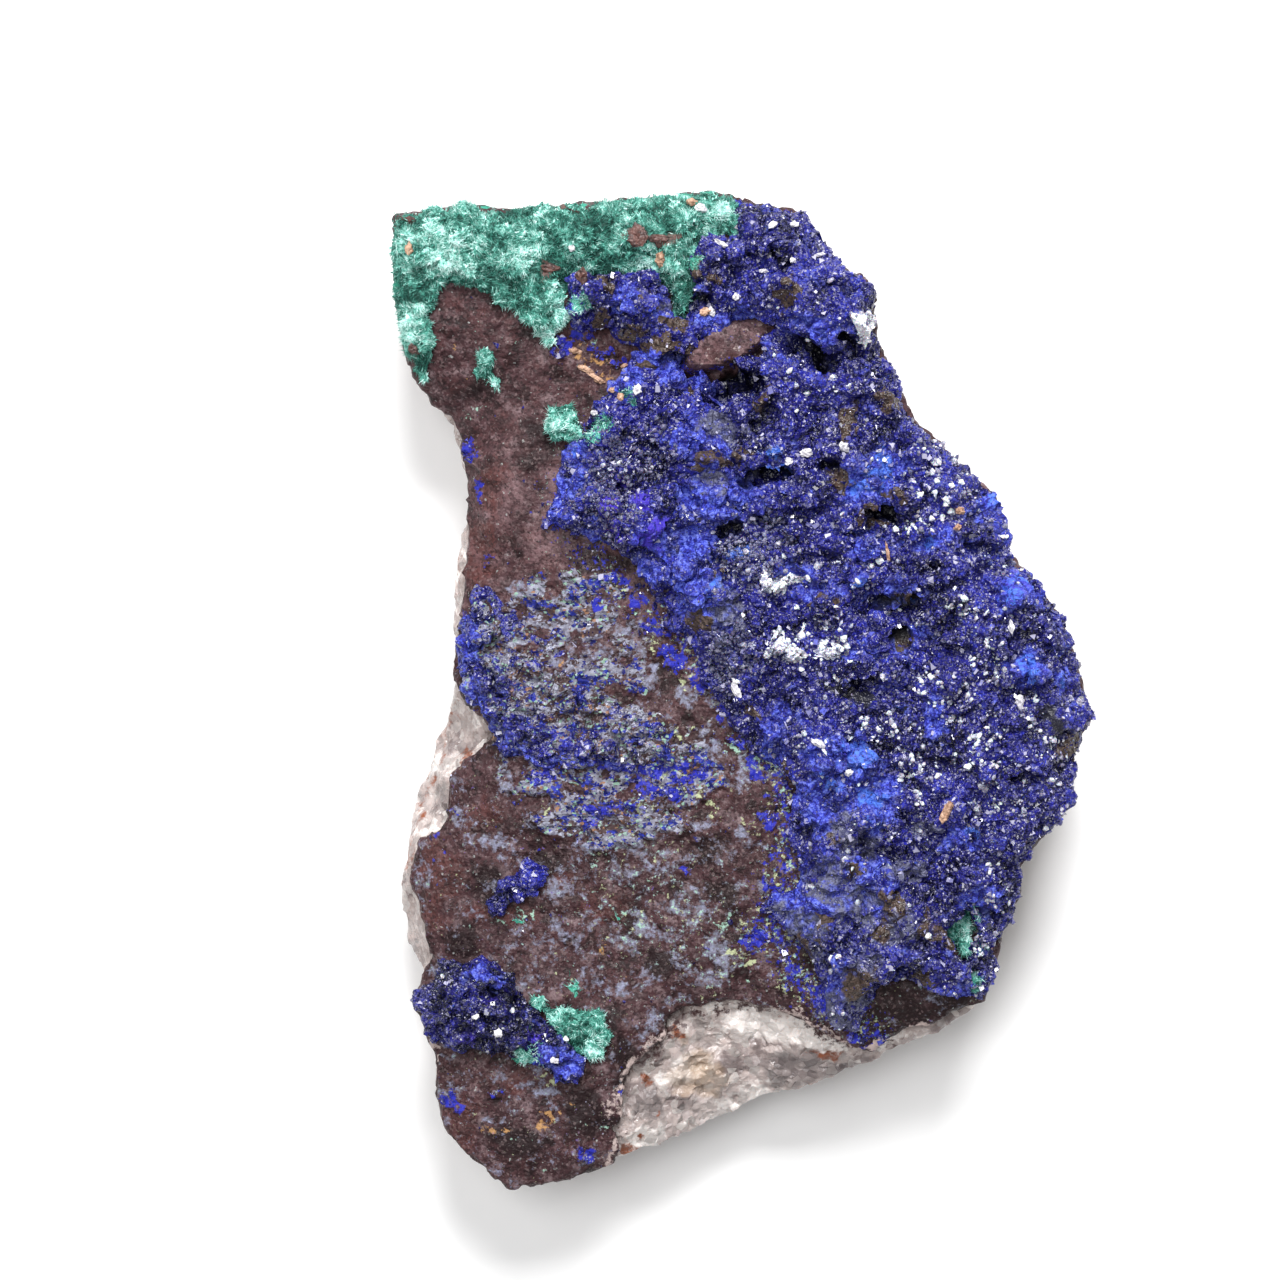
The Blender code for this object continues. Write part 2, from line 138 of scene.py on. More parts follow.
def hills(points, size, layer):
    # smooth noise from about -1 to 1
    return 1.6 * np.array([noise.noise(place) for place in noisePlaces(points, size, layer)])


def pebbles(points, size, layer):
    # 1 on top of each rounded knob and 0 in the clefts between them
    near = np.array([noise.voronoi(place)[0][0] for place in noisePlaces(points, size, layer)])
    return np.clip(1 - (near / 0.72) ** 2, 0, 1)


def chips(points, size, layer):
    # flat tilted facets, as on broken stone, from about -0.5 to 0.5
    half = Vector((0.5, 0.5, 0.5))
    heights = []
    for place in noisePlaces(points, size, layer):
        middle = noise.voronoi(place)[1][0]
        tilt = noise.cell_vector(middle * 9.7) - half
        heights.append((Vector(place) - middle).dot(tilt))
    return np.array(heights)


def layered(points, relief):
    # the sum of several kinds of relief, given as (kind, height, size, layer)
    return sum(height * kind(points, size, layer) for kind, height, size, layer in relief)


def terraces(points, pitch, layer):
    # steps that rise towards +Y and drop sharply on their near side
    slant, steep = 0.16, 0.10  # how far the steps lean, and the share of each that is its drop
    warp = 0.55 * hills(points, 3.4, layer) + 0.25 * hills(points, 1.3, layer + 1)
    phase = (points[:, 1] + slant * points[:, 0]) / pitch + warp
    share = phase - np.floor(phase)
    return np.clip(share / steep, 0, 1) * (1 - share)


def drift(places):
    # a smooth random vector at each place
    return np.array([noise.noise_vector(place) for place in places.tolist()])


def wander(points, layer=0.0):
    # the points shifted sideways by two noises, which makes the edge of a patch ragged
    shifted = points[:, :2].copy()
    for size, reach in ((3.1, 1.4), (0.9, 0.8)):
        shifted += reach * drift(points / size + 11.1 + layer)[:, :2]
    return shifted


def nearPath(shifted, path, reach):
    # 1 on a line through the given places, falling to 0 at the reach
    away = np.full(len(shifted), np.inf)
    for start, end in zip(path[:-1], path[1:]):
        step = np.array(end) - start
        along = np.clip(((shifted - start) @ step) / (step @ step), 0, 1)
        away = np.minimum(away, np.linalg.norm(shifted - start - along[:, None] * step, axis=1))
    return np.clip(1 - away / reach, 0, 1)


def ovalDistance(points, x, y, radiusX, radiusY):
    # 0 in the middle of an ellipse and 1 on its edge
    return ((points[:, 0] - x) / radiusX) ** 2 + ((points[:, 1] - y) / radiusY) ** 2


def patches(shifted, ovals, soft=1.4):
    # 1 inside ellipses given as (x, y, radius x, radius y), 0 well outside them
    cover = np.zeros(len(shifted))
    for oval in ovals:
        cover = np.maximum(cover, np.clip(soft - ovalDistance(shifted, *oval), 0, 1))
    return cover


def mounds(points, knobs):
    # rounded bumps given as (x, y, radius x, radius y, height)
    height = np.zeros(len(points))
    for *oval, rise in knobs:
        height += rise * np.exp(-ovalDistance(points, *oval))
    return height


# shader building

def addNode(tree, kind, inputs=None, **settings):
    made = tree.nodes.new("ShaderNode" + kind)
    for key, value in settings.items():
        setattr(made, key, value)
    for socket, value in (inputs or {}).items():
        if isinstance(value, bpy.types.NodeSocket):
            tree.links.new(value, made.inputs[socket])
        elif made.inputs[socket].type == "RGBA":
            made.inputs[socket].default_value = (*value, 1)
        else:
            made.inputs[socket].default_value = value
    return made


def newLook(name, roughness, ior, **sockets):
    look = bpy.data.materials.new(name)
    look.use_nodes = True
    tree = look.node_tree
    shader = tree.nodes["Principled BSDF"]
    shader.inputs["Roughness"].default_value = roughness
    shader.inputs["IOR"].default_value = ior
    for socket, value in sockets.items():
        shader.inputs[socket.replace("_", " ")].default_value = value
    return look, tree, shader


def objectPlace(tree):
    return addNode(tree, "TexCoord").outputs["Object"]


def maths(tree, operation, first, second):
    return addNode(tree, "Math", {0: first, 1: second}, operation=operation).outputs[0]


def plus(tree, first, second, share=None):
    # the sum, with a share of the second
    if share is not None:
        second = maths(tree, "MULTIPLY", second, share)
    return maths(tree, "ADD", first, second)


def vectorMaths(tree, operation, first, second):
    return addNode(tree, "VectorMath", {0: first, 1: second}, operation=operation).outputs


def threeOf(tree, mixed):
    return addNode(tree, "SeparateColor", {0: mixed}).outputs


def noiseNode(tree, place, size, detail, rough):
    # features are about size millimetres across
    inputs = {"Vector": place, "Scale": 0.5 / (size * mm), "Detail": detail, "Roughness": rough}
    return addNode(tree, "TexNoise", inputs).outputs


def grain(tree, place, size, detail=3.0, rough=0.6):
    return noiseNode(tree, place, size, detail, rough)["Fac"]


def grains(tree, place, size, detail, rough):
    # three such noises at once
    return threeOf(tree, noiseNode(tree, place, size, detail, rough)["Color"])


def cells(tree, place, size):
    return addNode(tree, "TexVoronoi", {"Vector": place, "Scale": 0.8 / (size * mm)}).outputs


def tiles(tree, place, size):
    # three random numbers for each small cell, and the distance from its middle
    made = cells(tree, place, size)
    return *threeOf(tree, made["Color"]), made["Distance"]


def facets(tree, place, size):
    # the height of small flat faces, each tilted its own way, and three random numbers for each
    made = cells(tree, place, size)
    tilt = vectorMaths(tree, "SUBTRACT", made["Color"], (0.5, 0.5, 0.5))[0]
    away = vectorMaths(tree, "SUBTRACT", place, made["Position"])[0]
    return vectorMaths(tree, "DOT_PRODUCT", away, tilt)["Value"], threeOf(tree, made["Color"])


def ramp(tree, value, stops):
    made = addNode(tree, "ValToRGB", {"Fac": value})
    elements = made.color_ramp.elements
    while len(elements) < len(stops):
        elements.new(0.5)
    for element, (position, tone) in zip(elements, stops):
        element.position = position
        element.color = (*tone, 1)
    return made.outputs["Color"]


def namedRamp(tree, value, settings, *stops):
    # the same, with the colours given by their names in the settings
    return ramp(tree, value, [(position, settings[tone]) for position, tone in stops])


def spread(tree, value, low, high, toLow=0.0, toHigh=1.0):
    # the range from low to high, drawn out to another range and held there outside it
    inputs = {"Value": value, "From Min": low, "From Max": high, "To Min": toLow, "To Max": toHigh}
    return addNode(tree, "MapRange", inputs).outputs["Result"]


def blendColour(tree, factor, under, over):
    return addNode(tree, "Mix", {0: factor, 6: under, 7: over}, data_type="RGBA").outputs[2]


def painted(tree, name):
    return addNode(tree, "Attribute", attribute_name=name).outputs["Fac"]


def speckled(tree, name, noisy, hard):
    # a painted patch that breaks up into specks where it is faint
    return spread(tree, plus(tree, painted(tree, name), noisy), 1.0 - hard, 1.0 + hard)


def speckle(tree, base, name, noisy, hard, tone):
    return blendColour(tree, speckled(tree, name, noisy, hard), base, tone)


def roughen(tree, shader, height, depth):
    bump = addNode(tree, "Bump", {"Height": height, "Distance": depth * mm, "Strength": 1.0})
    tree.links.new(bump.outputs["Normal"], shader.inputs["Normal"])


# quartz

quartzBody = {
    "voxel": 0.42,  # width of the skin's faces, here and in the other pieces
    "facetHeight": 0.40,
    "facets": [(chips, 1.2, 3.4, 1), (chips, 0.5, 1.3, 2)],
    "swell": [(hills, 0.08, 0.7, 3), (hills, 0.24, 2.0, 4)],
    "highest": 0.5,  # the most that the relief stands out
    "milk": (0.78, 0.72, 0.69),
    "white": (0.46, 0.385, 0.365),
    "grey": (0.22, 0.175, 0.17),
    "shadow": (0.25, 0.20, 0.20),
    # painted shade for small clefts
    "cleft": (0.27, 0.21, 0.20),
    "smoke": (0.13, 0.105, 0.105),
    "haze": (0.33, 0.28, 0.27),
    "cream": (0.36, 0.25, 0.165),
    "stain": (0.24, 0.075, 0.035),
    "crumbs": (0.075, 0.038, 0.038),
}
quartzPatches = {
    "rust": [
        (-10.0, -42.6, 0.7, 0.9), (9.1, -39.7, 2.0, 0.9), (-11.6, -49.2, 1.6, 0.9), (-9.2, -46.5, 0.4, 0.8),
        (13.0, -38.0, 1.4, 0.6), (-27.0, -8.6, 1.6, 0.7), (-29.6, -7.0, 0.5, 1.2), (-7.0, -37.0, 1.2, 0.6),
    ],
    "cream": [(-4.4, -41.6, 3.0, 2.4), (-6.6, -37.4, 1.2, 0.8)],
    "milky": [(1.4, -35.6, 3.0, 1.7), (5.6, -36.9, 3.6, 1.7), (9.4, -38.2, 2.0, 1.0)],
    "smoky": [(5.6, -41.2, 3.6, 2.2), (11.4, -41.4, 3.0, 1.0), (-9.8, -45.0, 1.6, 2.4)],
}
rustPaths = [  # strength, reach, and the line that the rust follows
    (0.42, 2.0, [(-31.5, 2), (-31.0, 25), (-32.5, 33)]),
    (0.52, 1.3, [(-30.8, -1), (-32.4, -6.0), (-34.8, -11.0), (-36.4, -19)]),
]
seam = [  # the edge of the brown layer on the quartz below
    (-13.6, -52.0), (-13.0, -44.5), (-11.7, -41.3), (-8.7, -37.5), (-5.5, -35.4), (-1.2, -33.8),
    (4.2, -33.8), (7.4, -35.9), (11.7, -38.6), (17.0, -38.6),
]


def quartzLook(settings):
    look, tree, shader = newLook(
        "quartz", 0.25, 1.54, Subsurface_Weight=0.3, Subsurface_Scale=0.001, Subsurface_Radius=(1.0, 0.8, 0.7)
    )
    place = objectPlace(tree)
    broad = grains(tree, place, 2.4, 4.0, 0.6)
    small = grains(tree, place, 0.4, 3.0, 0.7)
    height, tile = facets(tree, place, 0.75)
    stops = (0.40, "grey"), (0.47, "white"), (0.55, "white"), (0.60, "milk")
    base = namedRamp(tree, broad[0], settings, *stops)
    base = blendColour(tree, spread(tree, tile[0], 0.6, 1.0, 0.0, 0.55), base, settings["shadow"])
    base = blendColour(tree, spread(tree, tile[1], 0.7, 1.0, 0.0, 0.8), base, settings["milk"])
    # painted shade: grey-brown specks standing for small clefts in the quartz
    base = blendColour(tree, spread(tree, small[0], 0.46, 0.34, 0.0, 0.4), base, settings["cleft"])
    smoke = blendColour(tree, tile[2], settings["smoke"], settings["haze"])
    base = speckle(tree, base, "milky", broad[2], 0.25, settings["milk"])
    base = speckle(tree, base, "smoky", broad[2], 0.25, smoke)
    base = speckle(tree, base, "cream", broad[1], 0.3, settings["cream"])
    base = speckle(tree, base, "stain", small[1], 0.12, settings["stain"])
    base = speckle(tree, base, "crumbs", small[2], 0.06, settings["crumbs"])
    tree.links.new(base, shader.inputs["Base Color"])
    tree.links.new(spread(tree, tile[0], 0.0, 1.0, 0.10, 0.40), shader.inputs["Roughness"])
    height = plus(tree, maths(tree, "MULTIPLY", height, 1.1), small[1], 0.25 * mm)
    roughen(tree, shader, height, 1 / mm)  # this height is in metres already
    return look


def buildQuartz(settings):
    mesh = fineSkin("quartzBody", "quartz_matrix", settings["voxel"])
    points, normals = readSkin(mesh)
    inland = np.linalg.norm((points[:, :2] - (3, 2)) / (30, 46), axis=1) < 0.85
    covered = (normals[:, 2] > 0.8) & inland & (points[:, 1] > -33)
    mesh = thinOut(mesh, (points[:, 2] < 0.2) | covered, 0.30)
    points, normals = readSkin(mesh)
    free = np.clip(points[:, 2] / 1.2, 0, 1)  # nothing moves where the slab rests
    relief = settings["facetHeight"] * layered(points, settings["facets"])
    relief += layered(points, settings["swell"]) - 0.05
    points += normals * (np.minimum(relief, settings["highest"]) * free)[:, None]
    points[:, 2] = np.maximum(points[:, 2], 0)
    writePoints(mesh, points)
    shifted = wander(points)
    rim = np.clip((points[:, 2] - 11) / 4, 0, 1)
    below = np.clip((9 - points[:, 2]) / 9, 0, 1)
    rust = 0.60 * patches(shifted, quartzPatches["rust"], 1.6)
    rust = np.maximum(rust, rim * (0.36 + 0.10 * hills(points, 2.4, 5)))
    for strength, reach, path in rustPaths:
        rust = np.maximum(rust, strength * nearPath(shifted, path, reach))
    paint(mesh, "stain", np.maximum(rust, 0.42 * below))
    paint(mesh, "cream", np.maximum(0.5 * patches(shifted, quartzPatches["cream"], 1.6), 0.46 * below))
    paint(mesh, "milky", 0.20 + 0.7 * patches(shifted, quartzPatches["milky"], 1.5))
    paint(mesh, "smoky", 0.20 + 0.6 * patches(shifted, quartzPatches["smoky"], 1.5))
    paint(mesh, "crumbs", 0.18 + 0.27 * nearPath(shifted, seam, 1.5) + 0.12 * rim)
    newPiece("quartzBody", mesh, quartzLook(settings), "quartz_matrix")


# ironstone

ironstoneLayer = {
    "voxel": 0.42,
    "relief": [(hills, 0.16, 2.6, 1), (hills, 0.12, 1.0, 2), (pebbles, 0.12, 1.2, 3)],
    "knobs": (0.60, 0.30),  # heights of the large and the small knobs where blue lies on the rock
    "steps": 0.30,
    "brown": (0.062, 0.028, 0.032),
    "dark": (0.015, 0.007, 0.008),
    "pale": (0.185, 0.125, 0.135),
    "red": (0.098, 0.036, 0.034),
    # painted shade for the small pits of the rock
    "cleft": (0.018, 0.009, 0.010),
    "fleck": (0.25, 0.18, 0.18),
    "film": (0.250, 0.260, 0.375),
    "filmShade": (0.130, 0.125, 0.150),
    "crumb": (0.36, 0.38, 0.37),
    "dusty": (0.26, 0.155, 0.165),
    "ochre": (0.37, 0.20, 0.08),
    "lime": (0.42, 0.46, 0.27),
    "mint": (0.33, 0.52, 0.42),
    "blue": (0.022, 0.026, 0.34),
    "green": (0.045, 0.30, 0.215),
    "quartz": (0.44, 0.35, 0.33),
    # painted shade, near black, for the hollows below the ledges
    "hollowShade": (0.001, 0.001, 0.003),
}
stonePatches = {
    "film": [  # a lavender film that breaks up into lace
        (-24.6, 11.4, 2.6, 1.2), (-18.4, 9.0, 3.2, 1.6), (-17.5, 4.6, 4.5, 2.2), (-11.6, 5.6, 2.6, 2.4),
        (-9.4, 1.5, 1.2, 1.6), (-6.4, -0.6, 1.2, 2.4), (-2.9, -5.7, 1.3, 2.4), (0.6, -8.0, 1.8, 1.6),
        (-20.4, -11.0, 2.4, 1.2), (-17.2, -12.6, 3.0, 1.4), (-16.4, -15.6, 2.2, 1.4),
        (-12.8, -16.4, 2.0, 1.3), (-12.2, -20.0, 1.6, 2.2), (-10.8, -18.5, 2.6, 1.0),
        (-5.6, -21.6, 2.6, 1.0), (-7.4, -23.2, 1.6, 1.2), (-11.6, -24.6, 1.0, 1.3), (-9.6, -25.2, 1.2, 0.6),
        (-20.2, -22.0, 1.5, 1.6), (-19.6, -24.6, 1.6, 1.4), (-18.4, -26.4, 1.6, 0.7),
        (-12.6, -27.4, 1.7, 1.3), (-12.6, -32.4, 1.0, 0.8), (-30.0, -13.6, 1.6, 1.4),
        (-27.0, -16.4, 2.4, 1.0), (-12.8, -35.4, 0.8, 0.5), (-21.5, -43.2, 2.2, 0.7),
        (-26.6, -46.6, 1.4, 0.7), (9.5, -34.6, 1.6, 1.6), (4.6, -26.6, 1.2, 1.6), (-0.9, -17.2, 1.0, 1.6),
        (-23.0, 2.0, 2.0, 1.4),
    ],
    "lime": [  # yellow-green crumbs
        (-5.6, 1.3, 1.4, 1.1), (-5.0, -10.6, 1.2, 0.7), (-2.9, -12.2, 0.9, 1.2), (0.4, -15.0, 0.9, 1.4),
        (2.4, -23.4, 1.0, 0.8), (4.0, -25.8, 1.3, 0.9), (5.6, -28.4, 0.9, 1.3), (-0.6, -29.0, 2.2, 1.3),
        (-3.0, -31.4, 1.4, 0.7), (4.2, -31.6, 1.2, 0.9), (-9.4, 5.6, 1.0, 2.0), (-14.0, 11.6, 1.2, 1.2),
        (-20.6, -12.2, 1.4, 0.6), (-19.8, -42.0, 2.0, 0.6), (-8.0, -9.6, 2.6, 0.7), (-6.4, -4.6, 1.4, 0.6),
        (4.4, -21.0, 0.6, 1.0), (-10.6, -12.6, 2.0, 0.7), (6.6, -33.6, 1.2, 0.7),
    ],
    "mint": [
        (-13.8, -1.0, 1.8, 0.9), (-16.2, -3.6, 1.6, 0.6), (-25.6, 6.6, 1.2, 1.2), (-9.0, -4.8, 1.4, 0.8),
        (-23.4, -23.8, 1.6, 0.8), (-26.4, -25.4, 0.8, 0.4), (-1.0, -6.0, 0.8, 1.2), (2.6, -7.4, 1.4, 0.8),
        (-27.4, 39.3, 0.5, 0.5), (-23.8, 37.2, 0.6, 0.5), (-23.2, 33.4, 0.6, 0.5), (-29.1, 30.2, 0.5, 0.5),
        (-14.9, -47.6, 0.8, 0.5), (-1.6, -24.6, 1.2, 1.2), (-6.6, -33.6, 0.8, 0.5), (-16.2, 37.8, 1.2, 0.7),
    ],
    "ochre": [
        (-14.8, -14.6, 0.7, 0.6), (-19.6, -45.4, 1.8, 0.5), (-21.4, -46.6, 1.4, 0.6),
        (-25.6, -48.0, 1.6, 0.5), (-16.0, 35.6, 2.0, 0.8), (-14.8, 34.0, 1.4, 0.6), (-17.8, 37.0, 1.6, 0.6),
        (-31.2, 37.2, 0.5, 0.6), (-29.6, 34.5, 0.4, 0.4), (-15.4, -28.0, 0.9, 0.9),
        (-13.0, -31.0, 0.5, 0.3), (-25.8, -4.6, 0.8, 0.5), (-19.0, 3.6, 0.5, 0.3),
    ],
    "red": [
        (-32.4, -20.3, 2.6, 3.0), (-33.5, -24, 1.6, 2), (-23.8, -42.4, 1.4, 0.8), (-26.0, -23.6, 3.4, 1.6),
        (-19.5, -20.0, 1.6, 1.6), (-28.1, -13.6, 2.0, 1.2), (-30, -47, 2, 3), (-28, 15.0, 1.6, 3),
        (-14.5, -23.4, 2.4, 1.4), (-27.0, 22.0, 1.6, 3), (-2.5, -36, 2.0, 1.5),
    ],
    "dark": [
        (-21.0, -18.4, 2.4, 1.6), (-28.5, 32.6, 2.2, 0.9), (-14.6, 13.8, 3.6, 1.0), (-6.0, -36.0, 3.0, 1.6),
        (-18.6, -34.6, 2.4, 1.2), (-12.4, -40.6, 1.4, 2.6), (-16.4, -46.0, 2.2, 2.4),
        (-3.6, -17.0, 1.4, 1.6), (20.0, -33.5, 5.0, 2.6), (14.6, -35.6, 2.4, 2.0), (-27.0, -21.0, 1.6, 1.6),
        (-24.0, -49.0, 3.0, 1.4), (-8.4, -30.0, 2.0, 1.6), (-22.6, 26.6, 2.0, 2.6), (-2.0, -21.6, 1.4, 1.4),
        (-30.4, -26.6, 1.6, 1.6),
    ],
    "blue": [
        (-30.2, 7.0, 1.8, 2.2), (-28.0, 7.4, 1.4, 1.0), (-16.0, 9.8, 1.2, 1.0), (-27.0, 14.0, 0.4, 0.4),
        (-13.4, -6.2, 6.4, 0.9), (-10.6, -8.6, 5.2, 0.9), (-5.4, -8.6, 1.9, 0.9), (-21.6, -9.0, 2.0, 1.4),
        (-9.0, -10.4, 3.4, 0.7), (-15.2, -12.6, 2.2, 1.0), (-12.2, -12.4, 1.2, 0.9),
        (-15.6, -14.6, 1.4, 0.5), (-31.6, -13.0, 0.5, 0.5), (-33.0, -16.8, 0.8, 0.5),
        (-32.0, -17.8, 0.5, 0.4), (-6.5, -19.4, 0.6, 0.4), (-31.2, -44.2, 1.4, 0.8),
        (-27.2, -43.6, 1.6, 0.4), (-17.3, -50.6, 1.1, 0.8), (-29.8, 26.4, 1.2, 1.4),
        (-28.4, 22.0, 0.8, 1.6), (3.0, -21.4, 1.4, 0.8), (1.6, -26.6, 1.0, 1.2), (4.8, -24.4, 1.0, 1.2),
        (9.5, -33.0, 1.6, 2.0), (11.5, -36.4, 1.2, 0.8), (-12.4, -43.0, 0.4, 0.3), (-14.6, 25.4, 0.8, 0.5),
        (-17.5, 38.4, 1.4, 0.8), (-15.4, 37.0, 1.6, 0.6), (-13.2, 35.6, 1.4, 0.6), (-19.0, 36.9, 0.9, 1.2),
        (4.0, 53.0, 5.0, 1.2), (10.4, 49.6, 2.4, 1.6), (13.6, 44.6, 1.4, 3.0), (-8.8, 6.4, 2.0, 1.0),
        (-11.0, 9.4, 1.6, 0.9), (-7.0, 3.4, 1.2, 1.4), (-4.8, 0.8, 1.0, 1.6), (-2.4, -2.0, 0.9, 1.3),
        (0.0, -5.4, 0.9, 1.4), (1.4, -8.6, 0.8, 1.3), (-14.0, 12.0, 1.8, 0.8), (2.8, -14.4, 0.9, 1.3),
    ],
    "green": [
        (-18.3, -32.2, 0.45, 0.8), (-14.0, -24.6, 0.3, 0.3), (-24.2, -25.0, 0.4, 0.3),
        (-23.1, -39.6, 0.9, 1.5), (-28, 53.4, 9, 1.1), (-10, 53.4, 8, 1.1), (-37.0, 44.0, 1.0, 6),
    ],
}
crustRim = [  # where the blue crust thins out on the brown rock
    (-17.3, 28.1), (-20.5, 18.4), (-15.2, 14.1), (-5.5, 5.5), (2.0, -5.3), (5.3, -11.7), (4.2, -19.2),
    (3.1, -26.8), (8.5, -33.2), (14.9, -37.5),
]
leftGround = {
    "rock": (0.060, 0.036, 0.037),
    "dust": (0.11, 0.10, 0.14),
    "paleDust": (0.34, 0.35, 0.43),
    "navy": (0.009, 0.010, 0.070),
    "blue": (0.028, 0.042, 0.36),
    "mint": (0.24, 0.38, 0.30),
    "tan": (0.27, 0.145, 0.09),
}
groundPlaces = {  # where that ground lies, where the rock stays smooth, where it is lacy, where it is white
    "mixed": [
        (-20, 3, 10, 7), (-14, -8.5, 12, 5.6), (-5, -12, 7, 3.8), (-15, -13.0, 7, 4.0), (-18, 10, 7, 3.0),
    ],
    "smooth": [(-16.5, 15.0, 4, 1.6), (0.4, -12.5, 4.6, 2.6), (-6.4, 2.6, 3.0, 2.0), (-6.6, -2, 2.6, 1.6)],
    "lace": [(-11, -21, 8, 9), (-4, -27, 6, 7), (-20, 11, 6, 2.4)],
    "white": [(15.6, -38.2, 1.6, 0.9), (19.0, -36.8, 2.0, 0.7), (-34.0, -38.6, 0.7, 1.0)],
}
brownPlate = {  # a plate of the rock that comes up through the blue crust
    "x": -1.2,
    "y": 37.1,
    "turn": (0.89, 0.45),  # cosine and sine of its angle
    "halfLength": 5.9,
    "halfWidth": 2.3,
    "rise": 2.1,
    "fall": 0.10,  # how much lower each millimetre along it lies
}


def groundLook(tree, place, base, settings):
    # the mottled ground of the left side, drawn out sideways in rows
    turned = {"Vector": place, "Rotation": (0, 0, np.radians(8)), "Scale": (1 / 1.35, 1, 1)}
    rows = addNode(tree, "Mapping", turned).outputs["Vector"]
    away = vectorMaths(tree, "ADD", rows, (0.013 * 9, 0.021 * 9, 0.007 * 9))[0]  # off the rock's own noise
    patch = grains(tree, away, 0.9, 3.0, 0.74)
    tile = tiles(tree, rows, 0.22)
    dust = blendColour(tree, tile[1], settings["dust"], settings["paleDust"])
    blue = blendColour(tree, maths(tree, "POWER", tile[0], 1.6), settings["navy"], settings["blue"])
    dusty = plus(tree, patch[0], tile[0], 0.15)
    bluish = plus(tree, patch[1], tile[1], 0.15)
    bright = plus(tree, tile[2], patch[2], 0.5)
    ground = blendColour(tree, spread(tree, dusty, 0.53, 0.57), settings["rock"], dust)
    ground = blendColour(tree, spread(tree, bluish, 0.618, 0.648), ground, blue)
    ground = blendColour(tree, spread(tree, bright, 1.18, 1.22), ground, settings["mint"])
    ground = blendColour(tree, spread(tree, bright, 0.285, 0.265), ground, settings["tan"])
    cover = plus(tree, painted(tree, "mixed"), patch[2])
    return blendColour(tree, spread(tree, cover, 0.94, 1.02), base, ground)


def ironstoneLook(settings):
    look, tree, shader = newLook("ironstone", 0.62, 1.5, Specular_IOR_Level=0.2)
    place = objectPlace(tree)
    broad = grains(tree, place, 1.3, 4.0, 0.74)
    small = grains(tree, place, 0.36, 3.0, 0.68)
    tile = tiles(tree, place, 0.20)
    stops = (0.40, "dark"), (0.47, "brown"), (0.54, "brown"), (0.65, "pale")
    base = namedRamp(tree, broad[0], settings, *stops)
    base = blendColour(tree, painted(tree, "dusty"), base, settings["dusty"])
    base = speckle(tree, base, "red", broad[1], 0.2, settings["red"])
    base = speckle(tree, base, "dark", broad[2], 0.2, settings["dark"])
    # painted shade: near-black cells standing for the small pits of the rock
    base = blendColour(tree, spread(tree, tile[0], 0.45, 0.0, 0.0, 0.75), base, settings["cleft"])
    base = blendColour(tree, spread(tree, tile[0], 0.82, 1.0, 0.0, 0.34), base, settings["fleck"])
    lace = plus(tree, maths(tree, "MULTIPLY", small[1], 0.45), broad[1], 0.55)
    film = blendColour(tree, tile[2], settings["filmShade"], settings["film"])
    base = speckle(tree, base, "film", lace, 0.05, film)
    crumb = spread(tree, plus(tree, tile[2], small[0], 0.5), 1.26, 1.30, 0.0, 0.7)
    base = groundLook(tree, place, blendColour(tree, crumb, base, settings["crumb"]), leftGround)
    for zone, layer in (("ochre", 0), ("mint", 1), ("lime", 2), ("blue", 0), ("green", 1)):
        base = speckle(tree, base, zone, small[layer], 0.05, settings[zone])
    base = speckle(tree, base, "quartz", small[2], 0.06, settings["quartz"])
    # painted shade, near black, in the hollows below the ledges
    base = blendColour(tree, painted(tree, "hollowShade"), base, settings["hollowShade"])
    tree.links.new(base, shader.inputs["Base Color"])
    tree.links.new(spread(tree, tile[1], 0.0, 1.0, 0.35, 0.75), shader.inputs["Roughness"])
    roughen(tree, shader, grain(tree, place, 0.22, 2.0), 0.16)
    return look


def plateShape(points, settings):
    # 1 on the brown plate and 0 off it, and how high it stands
    x, y = points[:, 0] - settings["x"], points[:, 1] - settings["y"]
    cosine, sine = settings["turn"]
    along, across = x * cosine + y * sine, y * cosine - x * sine
    away = np.abs(along / settings["halfLength"]) ** 1.5 + ((across - 0.3) / settings["halfWidth"]) ** 2
    return np.clip(2.6 - 2.4 * away, 0, 1), settings["rise"] - settings["fall"] * along


